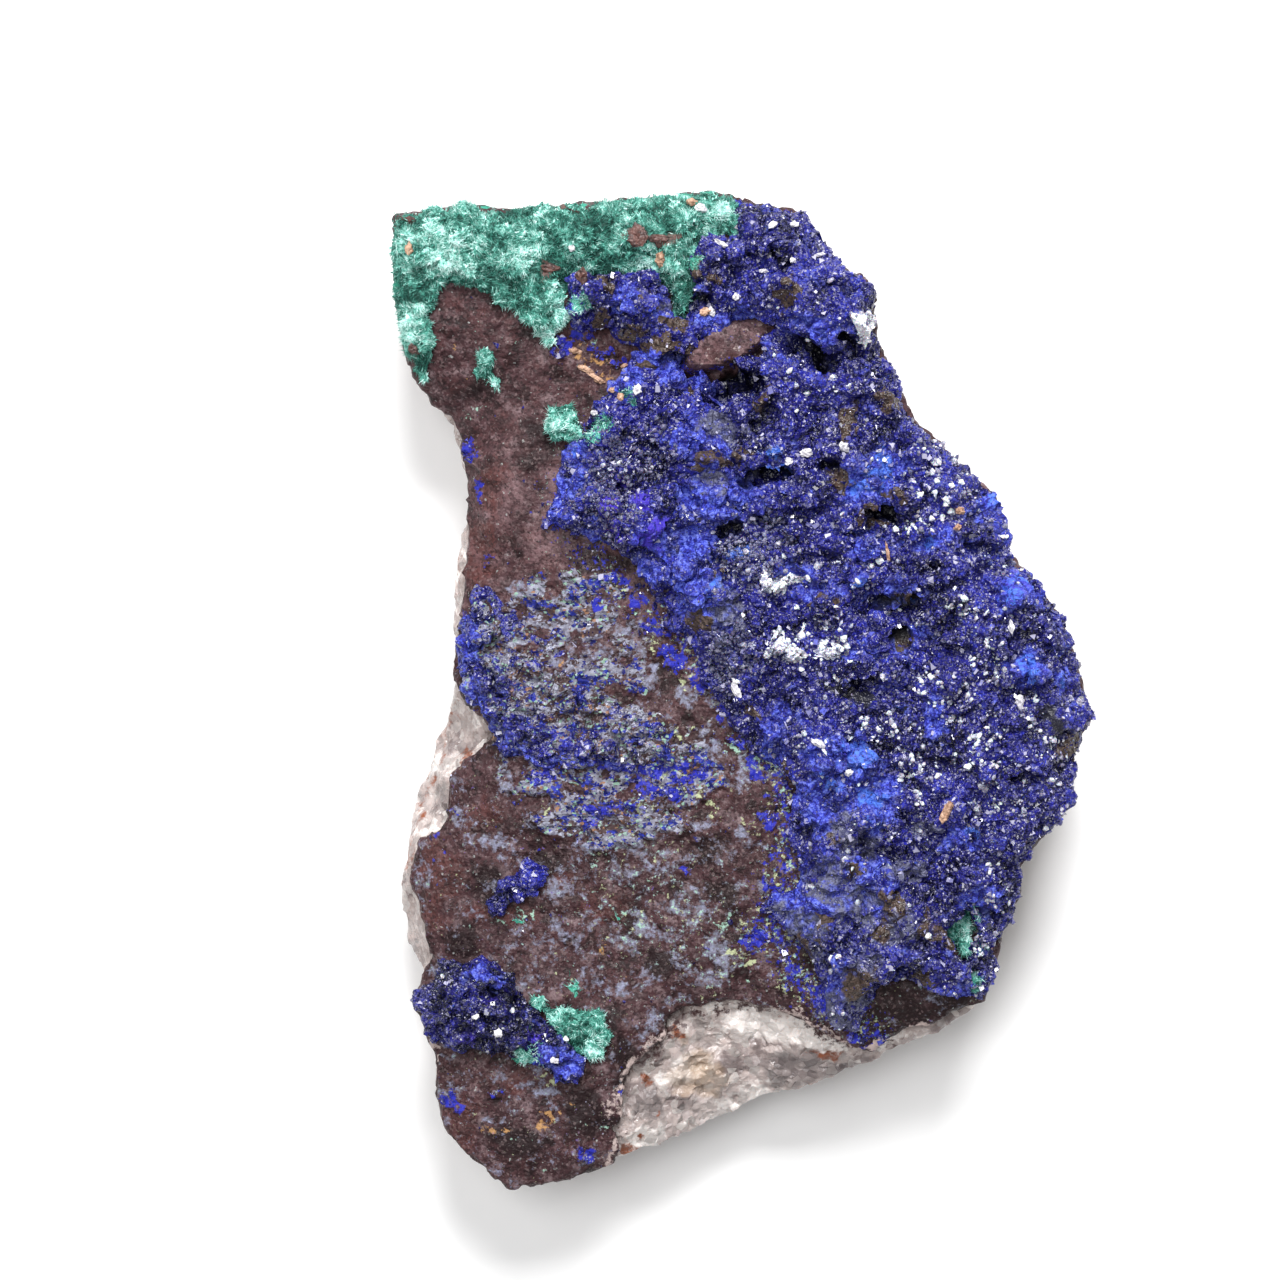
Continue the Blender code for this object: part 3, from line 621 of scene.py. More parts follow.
def buildIronstone(settings):
    mesh = fineSkin("ironstoneLayer", "ironstone_layer", settings["voxel"])
    points, normals = readSkin(mesh)
    under = nearPath(points[:, :2] - (9, 0), crustRim, 1.0) > 0
    inland = points[:, 0] > np.interp(points[:, 1], [-38, -20, 5, 18, 50], [18, 10, 3, -8, 0])
    inland &= np.linalg.norm(points[:, :2] - (-1, 36), axis=1) > 8
    mesh = thinOut(mesh, (normals[:, 2] < -0.5) | (inland & (normals[:, 2] > 0.7) & ~under), 0.55)
    points, normals = readSkin(mesh)
    shifted = wander(points)
    blue = patches(shifted, stonePatches["blue"], 1.6)
    smooth = patches(shifted, groundPlaces["smooth"])
    mixed = patches(shifted, groundPlaces["mixed"], 1.5) * (1 - smooth)
    mixed = np.clip(mixed * (1.15 + 1.1 * hills(points, 2.6, 9)), 0, 1)
    rows = points * (0.55, 1, 1) + (0, 0.14, 0) * points[:, :1]  # grains drawn out sideways
    large, little = settings["knobs"]
    knobs = large * pebbles(rows, 1.1, 4) + little * pebbles(points, 0.6, 5) - 0.15
    relief = layered(points, settings["relief"]) + np.maximum(mixed, 0.8 * blue) * knobs
    relief += mixed * settings["steps"] * terraces(points, 2.3, 6)
    side = np.clip(1 - np.abs(normals[:, 2]) * 1.5, 0, 1)
    relief += side * (0.6 * chips(points, 2.2, 7) + 0.1)
    points += normals * relief[:, None]
    plate, height = plateShape(points, brownPlate)
    hollowShade = ledgeShape(points)[1]
    points[:, 2] += (plate * height - 1.6 * hollowShade * (1 - plate)) * (normals[:, 2] > 0)
    writePoints(mesh, points)
    paintIronstone(mesh, points, normals, shifted, plate, hollowShade, smooth, mixed)
    newPiece("ironstoneLayer", mesh, ironstoneLook(settings), "ironstone_layer")
    paint(mesh, "fringe", nearPath(shifted, crustRim, 3.0) ** 2)
    paint(mesh, "heap", np.clip(0.5 + 1.6 * hills(points, 1.0, 71), 0.02, 1) * (1 - plate))
    return mesh


def paintIronstone(mesh, points, normals, shifted, plate, hollowShade, smooth, mixed):
    # how strongly each colour shows; the look adds noise to it, and what passes 1 is covered
    top = np.clip(normals[:, 2] * 2, 0, 1)
    rim = nearPath(shifted, crustRim, 4.0)
    lower = np.clip((12 - points[:, 1]) / 8, 0, 1)
    streaks = 0.5 + 0.5 * hills(points, 3.0, 8)
    zones = {zone: patches(shifted, ovals, 1.7) for zone, ovals in stonePatches.items()}
    lace = patches(shifted, groundPlaces["lace"], 1.3)
    film = 0.29 + (lower * (0.06 + 0.11 * streaks) + 0.05 * lace) * (1 - 0.6 * smooth)
    paint(mesh, "film", top * np.maximum(0.49 * zones["film"], film))
    crumbly = 0.05 * lace + 0.12 * rim * lower
    paint(mesh, "lime", top * np.maximum(0.42 * zones["lime"], 0.22 + 0.06 * lower + crumbly))
    mossy = 0.24 + 0.04 * lower + 0.06 * lace + 0.10 * rim
    paint(mesh, "mint", top * np.maximum(0.44 * zones["mint"], mossy))
    paint(mesh, "ochre", top * np.maximum(0.49 * zones["ochre"], 0.22 + 0.05 * lower))
    paint(mesh, "red", 0.32 + 0.32 * zones["red"])
    paint(mesh, "dark", 0.32 + 0.32 * zones["dark"] + 0.12 * lower * (1 - streaks))
    dusty = np.exp(-(((points[:, 1] - 19) / 9) ** 2)) * np.clip(0.6 + hills(points, 3.4, 9), 0, 1)
    dusty = np.maximum(dusty, plate * np.clip(0.7 + hills(points, 1.6, 10), 0, 1))
    paint(mesh, "dusty", top * 0.50 * dusty)
    white = patches(shifted, groundPlaces["white"], 1.6)
    paint(mesh, "quartz", 0.20 + 0.34 * nearPath(shifted, seam, 1.6) + 0.5 * white + 0.15 * plate)
    edge = np.clip(1 - np.abs(plate - 0.35) / 0.45, 0, 1) * (plate > 0)
    faint = 0.22 + 0.05 * lower + 0.20 * rim + 0.10 * (plate > 0) + 0.24 * edge
    paint(mesh, "blue", np.maximum(top * 0.55 * zones["blue"], faint))
    paint(mesh, "green", 0.8 * zones["green"] * np.clip(1.6 * normals[:, 2] + 0.3, 0, 1))
    paint(mesh, "mixed", top * 0.62 * mixed)
    # painted shade in the hollows below the ledges, off the brown plate
    paint(mesh, "hollowShade", np.clip(1.3 * hollowShade * (1 - plate), 0, 0.97))


# azurite crusts

azuriteCrust = {
    "voxel": 0.30,
    "knobs": [(pebbles, 0.85, 2.3, 1), (pebbles, 0.50, 1.1, 2)],
    "swell": [(hills, 0.16, 0.6, 3), (hills, 0.40, 3.6, 4)],
    "steps": 0.9,
    "sunk": 0.45,  # how deep the underside lies in the rock below
    "highest": 26.4,  # nothing rises past this
    "black": (0.003, 0.003, 0.014),
    "navy": (0.013, 0.012, 0.130),
    "ultramarine": (0.017, 0.018, 0.28),
    "cobalt": (0.040, 0.063, 0.50),
    "azure": (0.150, 0.195, 0.66),
    "sky": (0.075, 0.19, 0.72),
    "violet": (0.052, 0.030, 0.430),
    "grey": (0.150, 0.155, 0.240),
    "greyShade": (0.045, 0.045, 0.09),
    "bare": (0.105, 0.070, 0.055),
    "bareShade": (0.022, 0.014, 0.012),
    "green": (0.06, 0.36, 0.26),
    "smooth": (0.018, 0.018, 0.024),
    # haze and glint: painted glints, grey and nearly white
    "haze": (0.110, 0.105, 0.250),
    "glint": (0.42, 0.41, 0.56),
    # painted shade, near black, for the hollows below the ledges
    "hollowShade": (0.001, 0.001, 0.004),
}
bluePatches = {
    "cobalt": [  # bright powdery blue
        (-4.4, 27.0, 3.2, 2.4), (-2.5, 20.8, 4.5, 2.8), (-5.5, 15.7, 3.2, 2.2), (-9.2, 12.8, 3.0, 1.5),
        (-13.9, 33.1, 3.4, 1.1), (-18.2, 23.8, 1.3, 3.7), (-19.9, 20.0, 0.9, 2.4), (-10.9, 20.5, 1.3, 1.2),
        (-10.0, 17.1, 1.5, 1.1), (-3.9, 9.8, 2.8, 3.2), (10.4, -7.4, 3.9, 2.4), (8.7, -11.7, 3.2, 3.7),
        (14.1, -11.9, 2.4, 2.8), (11.7, -20.1, 4.9, 3.2), (6.3, -23.0, 3.2, 3.2), (10.4, -31.6, 1.7, 3.2),
        (14.9, 23.5, 2.4, 2.4), (14.1, 20.8, 2.8, 1.3), (13.7, 15.7, 1.7, 1.7), (20.3, 16.1, 2.4, 1.1),
        (28.9, 10.6, 1.7, 1.9), (31.3, 9.8, 1.3, 1.1), (30.2, 2.5, 1.7, 1.7), (33.9, 0.8, 1.3, 1.5),
        (16.6, 10.1, 2.8, 1.1), (5.3, 12.5, 1.9, 1.3), (8.7, 10.6, 2.4, 1.3), (17.6, 5.5, 1.7, 1.3),
        (12.8, 3.9, 1.5, 1.3), (20.3, -2.6, 1.1, 2.2), (4.7, -2.3, 1.7, 1.3), (3.3, -5.8, 1.5, 2.8),
        (23.5, -16.0, 1.7, 1.1), (25.2, -22.5, 2.2, 1.5), (23.5, -31.6, 1.3, 1.5), (-12.6, 42.4, 2.0, 1.3),
        (-8.4, 41.0, 1.2, 1.6), (-17.3, 15.7, 3.2, 1.1), (26.2, 20.5, 1.7, 1.5), (27.8, 17.3, 1.1, 1.7),
        (-9.8, 35.1, 3.2, 1.5), (8.7, 38.8, 3.2, 1.5), (-20, -39.8, 3.0, 1.5), (-29, 5.0, 1.8, 1.8),
        (-29.6, 0.4, 1.2, 1.4), (-6.4, 34.0, 3.0, 1.0), (2.6, 37.0, 0.8, 1.8), (-0.6, 40.0, 4.4, 0.8),
        (-27.5, -31.0, 2.0, 0.7),
    ],
    "sky": [
        (14.9, 24.0, 1.2, 1.3), (13.2, 21.4, 1.2, 0.9), (28.9, 10.6, 1.1, 1.1), (30.2, 2.5, 1.0, 1.0),
        (20.3, 16.1, 1.0, 0.6), (12.6, -7.0, 1.6, 1.0), (13.9, -12.0, 1.3, 1.4), (-16.5, 14.8, 1.6, 0.5),
        (-18.8, 26.5, 1.0, 1.5), (0.4, 15.0, 1.4, 0.8), (17.6, 9.6, 0.9, 0.6), (26.8, 21.0, 1.0, 0.8),
        (9.5, -9.8, 1.0, 1.0), (24.6, -15.3, 0.9, 0.6), (-3.0, 11.0, 1.2, 1.2), (34.2, 0.9, 0.6, 0.8),
        (3.0, 24.6, 1.4, 0.8), (12.2, 11.6, 1.0, 0.7), (-17.6, -42.8, 1.4, 0.8),
    ],
    "bare": [  # brown rock between the crystals
        (4.5, 42.4, 1.4, 1.6), (11.8, 28.6, 0.8, 2.0), (10.9, 22.4, 1.5, 1.3), (16.3, 21.0, 2.0, 0.7),
        (-3.9, 24.1, 1.8, 0.7), (-0.4, 25.3, 1.3, 0.9), (13.3, 18.3, 1.7, 0.6), (2.6, 31.0, 0.7, 1.7),
        (16.0, 31.1, 1.5, 1.1), (35.5, -5.5, 1.3, 1.5), (17.4, 9.8, 1.3, 0.4), (17.7, 5.5, 0.8, 0.6),
        (8.5, 9.5, 1.4, 0.4), (-8.7, 37.4, 1.6, 0.9), (14.9, -25.2, 1.1, 1.7), (6.3, -29.5, 1.3, 2.6),
        (21.4, -33.2, 1.3, 1.1), (-4.4, 44.7, 0.8, 1.6), (19.8, -25.2, 1.5, 1.5), (23.0, -26.8, 1.3, 0.9),
        (12.5, -31.5, 1.5, 1.5), (18.5, -31.5, 2.6, 1.2), (-10.2, 34.4, 1.4, 0.5), (-5.6, 31.8, 0.6, 0.5),
        (-14.6, 44.4, 0.8, 1.2), (-9.6, 42.0, 1.2, 0.7), (-2.0, 43.4, 1.0, 0.7), (-15.2, 40.2, 1.2, 1.0),
        (-7.0, 39.8, 1.6, 0.9), (-12.2, 38.8, 1.4, 0.8), (-5.6, 36.4, 1.2, 1.4), (8.6, -25.0, 1.2, 1.2),
        (12.6, -19.2, 1.2, 0.8), (9.8, -15.4, 0.9, 0.7), (15.8, -22.6, 1.0, 0.8), (-2.0, 12.6, 0.8, 0.8),
        (-5.0, 7.4, 0.9, 1.1), (0.8, -1.8, 0.7, 1.1), (-9.4, 11.0, 0.9, 0.7), (4.4, -9.0, 0.7, 1.2),
    ],
    "grey": [
        (12.0, -15.8, 2.8, 2.0), (8.4, -20.6, 1.8, 1.8), (5.4, -24.6, 1.6, 2.0), (11.7, -22.7, 2.8, 2.8),
        (15.6, -24.8, 3.0, 2.4), (10.9, -33.8, 2.2, 3.7), (17.6, -19.0, 2.4, 1.3), (18.8, -15.0, 1.2, 1.4),
        (-7.6, 41.8, 1.6, 0.8), (-2.3, 7.6, 2.2, 3.2), (7.2, -26.8, 1.7, 2.8), (10.1, -18.2, 1.7, 1.3),
        (-14.9, 33.5, 1.4, 0.8), (-1.8, 28.4, 2.4, 1.6), (-3.6, 22.2, 2.4, 1.0), (13.6, -29.2, 2.0, 1.6),
    ],
    "smooth": [(12.4, -0.3, 2.4, 0.9), (14.0, -0.9, 2.0, 0.7), (33.0, -3.0, 1.0, 1.6)],
    "green": [
        (-17.3, 42.0, 0.8, 0.8), (-5.4, 45.6, 1.6, 0.8), (25.2, -31.6, 0.6, 1.0), (24.0, -26.3, 1.4, 2.4),
        (-17.6, 28.8, 1.4, 1.0), (-15.8, 28.0, 1.2, 1.4), (-12.0, 32.0, 0.8, 0.4), (-22.9, -39.3, 1.2, 1.5),
    ],
}
violetKnobs = [
    (-11.0, 20.6, 1.1, 1.1, 0.9), (-9.6, 17.1, 1.2, 1.2, 0.9), (-13.0, 17.8, 1.0, 1.0, 0.7),
    (-14.6, 20.4, 1.0, 1.0, 0.6), (-11.8, 23.4, 1.0, 0.9, 0.6), (-12.6, 15.8, 1.3, 0.9, 0.6),
    (-22.5, -36.5, 1.2, 0.9, 0.6), (-26.0, -33.0, 1.2, 1.0, 0.6), (-29.5, -37.0, 1.2, 1.0, 0.5),
    (29.0, 10.6, 1.3, 1.3, 0.6), (30.3, 2.4, 1.2, 1.2, 0.5),
]
ledges = [  # steps with deep shade below them: x, y, half length, drop, turn in degrees
    (-1.2, 33.3, 3.2, 4.4, 22), (7.3, 36.8, 3.6, 2.6, -32), (4.2, 47.0, 1.5, 2.0, -20),
    (2.6, 23.6, 3.0, 2.4, 6), (9.2, 24.7, 1.2, 2.0, 0), (-1.2, 17.8, 1.6, 2.2, 5),
    (14.8, 19.5, 1.8, 2.4, 10), (16.4, 10.0, 2.6, 2.0, 0), (17.0, 6.1, 1.2, 1.8, 0),
    (1.9, 29.6, 1.8, 2.2, 50), (-4.2, 42.2, 1.2, 1.8, 0), (26.5, -23.5, 1.5, 1.4, -10),
    (17.6, -29.6, 2.0, 1.4, 0), (12.4, 1.2, 2.2, 1.4, 12), (-25.6, -32.6, 1.8, 1.6, -20),
    (21.0, -7.2, 2.0, 1.1, 0), (26.0, 15.4, 2.4, 1.2, -5), (-7.4, 36.2, 1.6, 1.2, 10),
    (12.0, 37.2, 1.8, 2.2, -40), (22.5, 4.8, 2.4, 1.0, -5), (6.6, -14.6, 1.5, 1.2, 30),
    (30.4, -9.0, 2.0, 1.0, 0), (-10.4, 26.6, 1.6, 1.0, 0), (8.6, 14.6, 2.2, 1.0, 0),
    (10.6, 43.4, 1.8, 1.4, -25), (3.0, 18.6, 2.2, 1.0, -10), (-12.4, 22.2, 1.4, 1.0, 0),
    (19.6, 13.4, 1.8, 1.2, -10), (-29.6, -36.4, 1.6, 1.0, -5), (5.0, 7.0, 2.0, 1.0, 0),
    (30.0, 6.4, 1.8, 1.0, -10), (14.6, -17.0, 2.0, 0.9, 10),
]
leftShore = [(-30.0, 8.5), (-30.5, 2), (-27, -3.5), (-21.5, -8), (-14, -8.2)]  # the left crust's thick edge


def ledgeShape(points):
    # how far each place is raised or sunk by the ledges, how much painted shade lies below them, and how near
    # one is
    height = np.zeros(len(points))
    shade = np.zeros(len(points))
    close = np.zeros(len(points))
    ragged = 0.30 * hills(points, 1.1, 20)
    for x, y, half, drop, turn in ledges:
        cosine, sine = np.cos(np.radians(turn)), np.sin(np.radians(turn))
        along = (points[:, 0] - x) * cosine + (points[:, 1] - y) * sine
        across = (points[:, 1] - y) * cosine - (points[:, 0] - x) * sine
        across = (across + 0.5 * (along / half) ** 2 + ragged) / (0.6 + 0.25 * drop)
        span = np.clip(1.6 - 1.3 * (along / half) ** 2, 0, 1)
        above = np.exp(-np.maximum(across - 0.7, 0) / 2.2) * np.clip((across - 0.4) / 0.3, 0, 1)
        below = np.exp(-((np.minimum(across, 0) / 1.1) ** 2)) * np.clip((0.6 - across) / 0.3, 0, 1)
        height += span * drop * (0.28 * above - 0.72 * below)
        shade = np.maximum(shade, span * below * min(drop, 1.8) / 1.8)
        away = np.linalg.norm(points[:, :2] - (x, y), axis=1) / (half + 2.5)
        close = np.maximum(close, drop * np.exp(-(away**2)))
    return height, shade, close


def blueRamp(tree, value, settings):
    stops = (0.0, "black"), (0.35, "navy"), (0.72, "ultramarine"), (1.0, "cobalt")
    return namedRamp(tree, value, settings, *stops)


def paintedSparkle(tree, base, random, tone, settings):
    # painted glints: small cells coloured grey and a few nearly white as if they caught the light, fewer
    # where the tone is dark
    lit = spread(tree, tone, -0.05, 0.25)
    for kind, low, high in (("haze", 0.80, 0.86), ("glint", 0.965, 0.98)):
        share = maths(tree, "MULTIPLY", spread(tree, random, low, high), lit)
        base = blendColour(tree, share, base, settings[kind])
    return base


def azuriteLook(name, settings, mixed=False):
    look, tree, shader = newLook(name, 0.35, 1.6, Specular_IOR_Level=0.3)
    place = objectPlace(tree)
    broad = grains(tree, place, 0.9, 4.0, 0.66)
    small = grains(tree, place, 0.3, 3.0, 0.7)
    tile = tiles(tree, place, 0.17)
    # the tone carries painted light on the knobs and painted shade between them
    tone = plus(tree, spread(tree, small[0], 0.36, 0.66, -0.10, 0.35), painted(tree, "lift"))
    tone = plus(tree, tone, spread(tree, tile[0], 0.0, 1.0, -0.18, 0.32))
    base = paintedSparkle(tree, blueRamp(tree, tone, settings), tile[1], tone, settings)
    cobalt = speckled(tree, "cobalt", broad[0], 0.12)
    stops = (0.44, "navy"), (0.53, "ultramarine"), (0.61, "cobalt"), (0.71, "azure")
    powder = namedRamp(tree, plus(tree, small[1], tile[2], 0.18), settings, *stops)
    base = blendColour(tree, cobalt, base, powder)
    base = speckle(tree, base, "violet", small[1], 0.15, settings["violet"])
    base = speckle(tree, base, "sky", small[2], 0.12, settings["sky"])
    grey = blendColour(tree, tile[2], settings["greyShade"], settings["grey"])
    base = speckle(tree, base, "grey", broad[1], 0.10, grey)
    if mixed:
        base = groundLook(tree, place, base, leftGround)
    bare = blendColour(tree, tile[0], settings["bareShade"], settings["bare"])
    base = speckle(tree, base, "bare", broad[2], 0.06, bare)
    base = speckle(tree, base, "green", small[0], 0.12, settings["green"])
    # the hollow colour is painted shade below the ledges
    for zone in ("smooth", "hollowShade"):
        base = blendColour(tree, painted(tree, zone), base, settings[zone])
    tree.links.new(base, shader.inputs["Base Color"])
    tree.links.new(spread(tree, cobalt, 0.0, 1.0, 0.30, 0.8), shader.inputs["Roughness"])
    roughen(tree, shader, grain(tree, place, 0.2, 1.0), 0.3)
    return look


def azuriteZones(points):
    # how strongly each kind of cover shows; the look adds noise to it, and what passes 1 is covered
    shifted = wander(points)
    zones = {zone: patches(shifted, ovals, 1.7) for zone, ovals in bluePatches.items()}
    zones["cobalt"] = np.clip(0.31 + 0.27 * zones["cobalt"] + 0.09 * hills(points, 2.4, 31), 0, 1)
    zones["sky"] = 0.24 + 0.27 * zones["sky"]
    zones["bare"] = 0.28 + 0.36 * zones["bare"]
    zones["grey"] = 0.25 + 0.29 * zones["grey"]
    zones["violet"] = 0.20 + 0.50 * np.clip(1.6 * mounds(shifted, violetKnobs), 0, 1)
    zones["green"] *= 0.60
    zones["smooth"] = np.clip(zones["smooth"], 0, 0.95)
    return zones


def buildAzurite(nodeName, settings, look, mixed=False, lift=0.16):
    name = pieceName(nodeName)
    mesh = fineSkin(name, nodeName, settings["voxel"])
    mesh = thinOut(mesh, readSkin(mesh)[1][:, 2] < -0.6, 0.62)
    points, normals = readSkin(mesh)
    under = normals[:, 2] < -0.3
    top = np.clip(normals[:, 2] * 2, 0, 1)
    points[:, :2] += 0.75 * drift(points / 2.4)[:, :2]
    rim = nearPath(points[:, :2], crustRim, 3.5)
    drop, hollowShade, close = ledgeShape(points)
    knobs = layered(points, settings["knobs"]) - 0.65
    knobs += layered(points, settings["swell"])
    steps = settings["steps"] * terraces(points, 3.3, 5) * np.clip(0.6 + hills(points, 5.0, 7), 0, 1) - 0.15
    relief = (knobs + top * steps) * (1 - 0.75 * patches(points, bluePatches["smooth"]))
    bare = patches(wander(points), bluePatches["bare"], 1.6)
    relief = relief * (1 - 0.7 * bare) + 0.3 * bare
    relief += top * (mounds(points, violetKnobs) + drop - 0.5 * rim)
    zones = azuriteZones(points)
    # painted shade, near black, in the hollows below the ledges
    zones["hollowShade"] = 0.98 * hollowShade
    # the crust's tone: painted light on the knobs and painted shade between them, on its own tone and a slow
    # random change
    zones["lift"] = np.clip(lift + 0.30 * knobs + 0.20 * hills(points, 5.0, 8), -0.2, 0.6)
    points += normals * np.where(under, -0.1, relief)[:, None]
    points[:, 2] -= np.where(under, settings["sunk"] + 0.8 * close, 0.0)
    if mixed:
        shore = nearPath(wander(points), leftShore, 5.0)
        openGround = np.clip(1.15 - 1.25 * shore + 0.45 * hills(points, 1.5, 6), 0, 1)
        points[:, 2] -= 1.4 * openGround * ~under
        zones["mixed"] = 0.62 * np.clip(openGround * 1.3, 0.66, 1)
        zones["cobalt"] = np.maximum(zones["cobalt"], 0.55 * shore)
        zones["mixedCover"] = openGround
    points[:, 2] = np.minimum(points[:, 2], settings["highest"])
    writePoints(mesh, points)
    for zone, values in zones.items():
        paint(mesh, zone, values * (1 if zone in ("cobalt", "grey", "lift", "hollowShade") else top))
    newPiece(name, mesh, look, nodeName)
    return mesh


# small things, stamped many times over a skin

def template(shape):
    # the corners and triangles of one small closed shape
    bmesh.ops.remove_doubles(shape, verts=shape.verts, dist=0.01)
    bmesh.ops.triangulate(shape, faces=shape.faces[:])
    bmesh.ops.recalc_face_normals(shape, faces=shape.faces)
    shape.verts.index_update()
    corners = np.array([vert.co[:] for vert in shape.verts])
    triangles = np.array([[vert.index for vert in face.verts] for face in shape.faces])
    shape.free()
    return corners, triangles


def wedgeShape():
    # a block one unit across whose far end narrows to a ridge
    shape = bmesh.new()
    bmesh.ops.create_cube(shape, size=1.0)
    bmesh.ops.scale(shape, verts=[vert for vert in shape.verts if vert.co.z > 0], vec=(0.0, 0.75, 1.0))
    return template(shape)


def spikeShape():
    # a slim three-sided cone one unit long
    shape = bmesh.new()
    bmesh.ops.create_cone(shape, cap_ends=True, segments=3, radius1=0.5, radius2=0.0, depth=1.0)
    return template(shape)


def grainShape(seed):
    # an angular lump
    shape = bmesh.new()
    bmesh.ops.create_icosphere(shape, subdivisions=1, radius=0.5)
    for vert in shape.verts:
        vert.co += 0.22 * Vector(noise.noise_vector(vert.co * 3 + Vector((seed, seed, seed))))
    return template(shape)


def readBed(mesh):
    # the faces of a skin that small things can be set on, with what is painted there
    total = len(mesh.polygons)
    bed = {}
    for key, count in (("center", 3), ("normal", 3), ("area", 1)):
        values = np.empty(total * count, np.float32)
        mesh.polygons.foreach_get(key, values)
        bed[key] = values.reshape(total, count).astype(float)
    bed["center"] /= mm
    firstLoop = np.empty(total, np.int32)
    mesh.polygons.foreach_get("loop_start", firstLoop)
    corner = np.empty(len(mesh.loops), np.int32)
    mesh.loops.foreach_get("vertex_index", corner)
    for layer in mesh.attributes:
        if layer.data_type == "FLOAT" and layer.domain == "POINT":
            values = np.empty(len(mesh.vertices), np.float32)
            layer.data.foreach_get("value", values)
            bed[layer.name] = values[corner[firstLoop]].astype(float)
    bed["up"] = np.clip(bed["normal"][:, 2] * 1.5 + 0.3, 0, 1)
    return bed


def pick(bed, weight, count, rng):
    # random faces, more of them where the weight and the area are large
    share = bed["area"][:, 0] * bed["up"] * weight
    chosen = rng.choice(len(share), int(count / coarse**2), p=share / share.sum())
    return {key: values[chosen] for key, values in bed.items()}


def stamp(name, shapes, middles, axes, sizes, sink, tones, look, rng):
    # one joined mesh of many small shapes, each turned at random about its axis
    count = len(middles)
    axes = axes / np.linalg.norm(axes, axis=1, keepdims=True)
    aside = rng.normal(size=(count, 3))
    aside -= axes * (aside * axes).sum(1, keepdims=True)
    aside /= np.linalg.norm(aside, axis=1, keepdims=True)
    across = np.cross(axes, aside)
    kind = rng.integers(0, len(shapes), count)
    corners, triangles, shades, start = [], [], [], 0
    for index, (shapeCorners, shapeTriangles) in enumerate(shapes):
        mine = np.flatnonzero(kind == index)
        scaled = shapeCorners[None] * sizes[mine][:, None]
        placed = scaled[..., :1] * aside[mine][:, None] + scaled[..., 1:2] * across[mine][:, None]
        placed += (scaled[..., 2:] + (sink * sizes[mine][:, 2])[:, None, None]) * axes[mine][:, None]
        placed += middles[mine][:, None]
        offsets = start + np.arange(len(mine)) * len(shapeCorners)
        corners.append(placed.reshape(-1, 3))
        triangles.append((shapeTriangles[None] + offsets[:, None, None]).reshape(-1, 3))
        shades.append(np.repeat(tones[mine], len(shapeCorners), axis=0))
        start += len(mine) * len(shapeCorners)
    mesh = bpy.data.meshes.new(name)
    mesh.from_pydata((np.concatenate(corners) * mm), [], np.concatenate(triangles))
    for column, tone in enumerate(("tone", "zone")):
        paint(mesh, tone, np.concatenate(shades)[:, column])
    newPiece(name, mesh, look)


azuriteCrystals = {
    "count": 20500,  # on each half of the main crust; the other crusts have a share of it
    "small": 0.20,
    "large": 0.72,
    "crowding": 4.5,  # how much more common the small ones are
    "seed": 21,
}


def crystalLook(settings):
    look, tree, shader = newLook("azuriteCrystals", 0.22, 1.75)
    tile = tiles(tree, objectPlace(tree), 0.16)
    tone = plus(tree, painted(tree, "tone"), spread(tree, tile[0], 0.0, 1.0, -0.20, 0.24))
    base = paintedSparkle(tree, blueRamp(tree, tone, settings), tile[1], tone, settings)
    zone = painted(tree, "zone")
    base = blendColour(tree, spread(tree, zone, 0.1, 1.0), base, settings["sky"])
    # painted glints: crystals marked -1 are coloured nearly white
    base = blendColour(tree, spread(tree, zone, -0.2, -0.1, 1.0, 0.0), base, settings["glint"])
    tree.links.new(base, shader.inputs["Base Color"])
    tree.links.new(spread(tree, painted(tree, "tone"), 0.3, 0.8, 0.18, 0.7), shader.inputs["Roughness"])
    return look


def crystalWeight(bed, low=-60, high=60):
    free = np.clip(1.7 - 2.2 * bed["bare"], 0, 1) * np.clip(1.6 - 2.0 * bed["grey"], 0.1, 1)
    crusted = (1 - bed["smooth"]) * (1 - bed["hollowShade"]) * (1 - bed["green"])
    free *= crusted * np.clip(2.2 - 3.2 * bed["cobalt"], 0.08, 1)
    return free * (bed["center"][:, 1] >= low) * (bed["center"][:, 1] < high)


def buildCrystals(name, bed, weight, share, look, glints=1.0, settings=azuriteCrystals):
    rng = np.random.default_rng(settings["seed"] + len(name))
    chosen = pick(bed, weight, settings["count"] * share, rng)
    middles = chosen["center"]
    count = len(middles)
    none = np.zeros(count)
    reach = settings["large"] - settings["small"]
    width = settings["small"] + reach * rng.random(count) ** settings["crowding"]
    sizes = np.stack([width, width * rng.uniform(0.6, 1.0, count), width * rng.uniform(0.7, 1.2, count)], 1)
    axes = chosen["normal"] + rng.normal(size=(count, 3)) * 0.5
    # the crystals take the crust's tone, with its painted light on the knobs and painted shade between them
    shade = 0.18 + chosen.get("lift", 0.1) + 0.15 * rng.normal(size=count) + 0.14 * hills(middles, 1.8, 41)
    powdery = np.clip((chosen.get("cobalt", chosen.get("blue", none)) - 0.42) / 0.25, 0, 1)
    # painted shade: the crystals are darker in the hollows below the ledges
    shade = np.clip(shade + 0.40 * powdery - 0.5 * chosen.get("hollowShade", none), 0.02, 1.0)
    zone = 0.9 * np.clip((chosen.get("sky", none) - 0.3) * 4, 0, 1) * rng.random(count)
    # painted glints: a share of the crystals coloured nearly white as if they caught the light
    pale = rng.random(count) < glints * (0.075 + 0.10 * hills(middles, 3.0, 45))
    zone = np.where(pale, -1.0, zone)
    shapes = [spikeShape(), wedgeShape(), spikeShape()]  # two spikes for each wedge
    stamp(name, shapes, middles, axes, sizes, 0.0, np.stack([shade, zone], 1), look, rng)


# white calcite

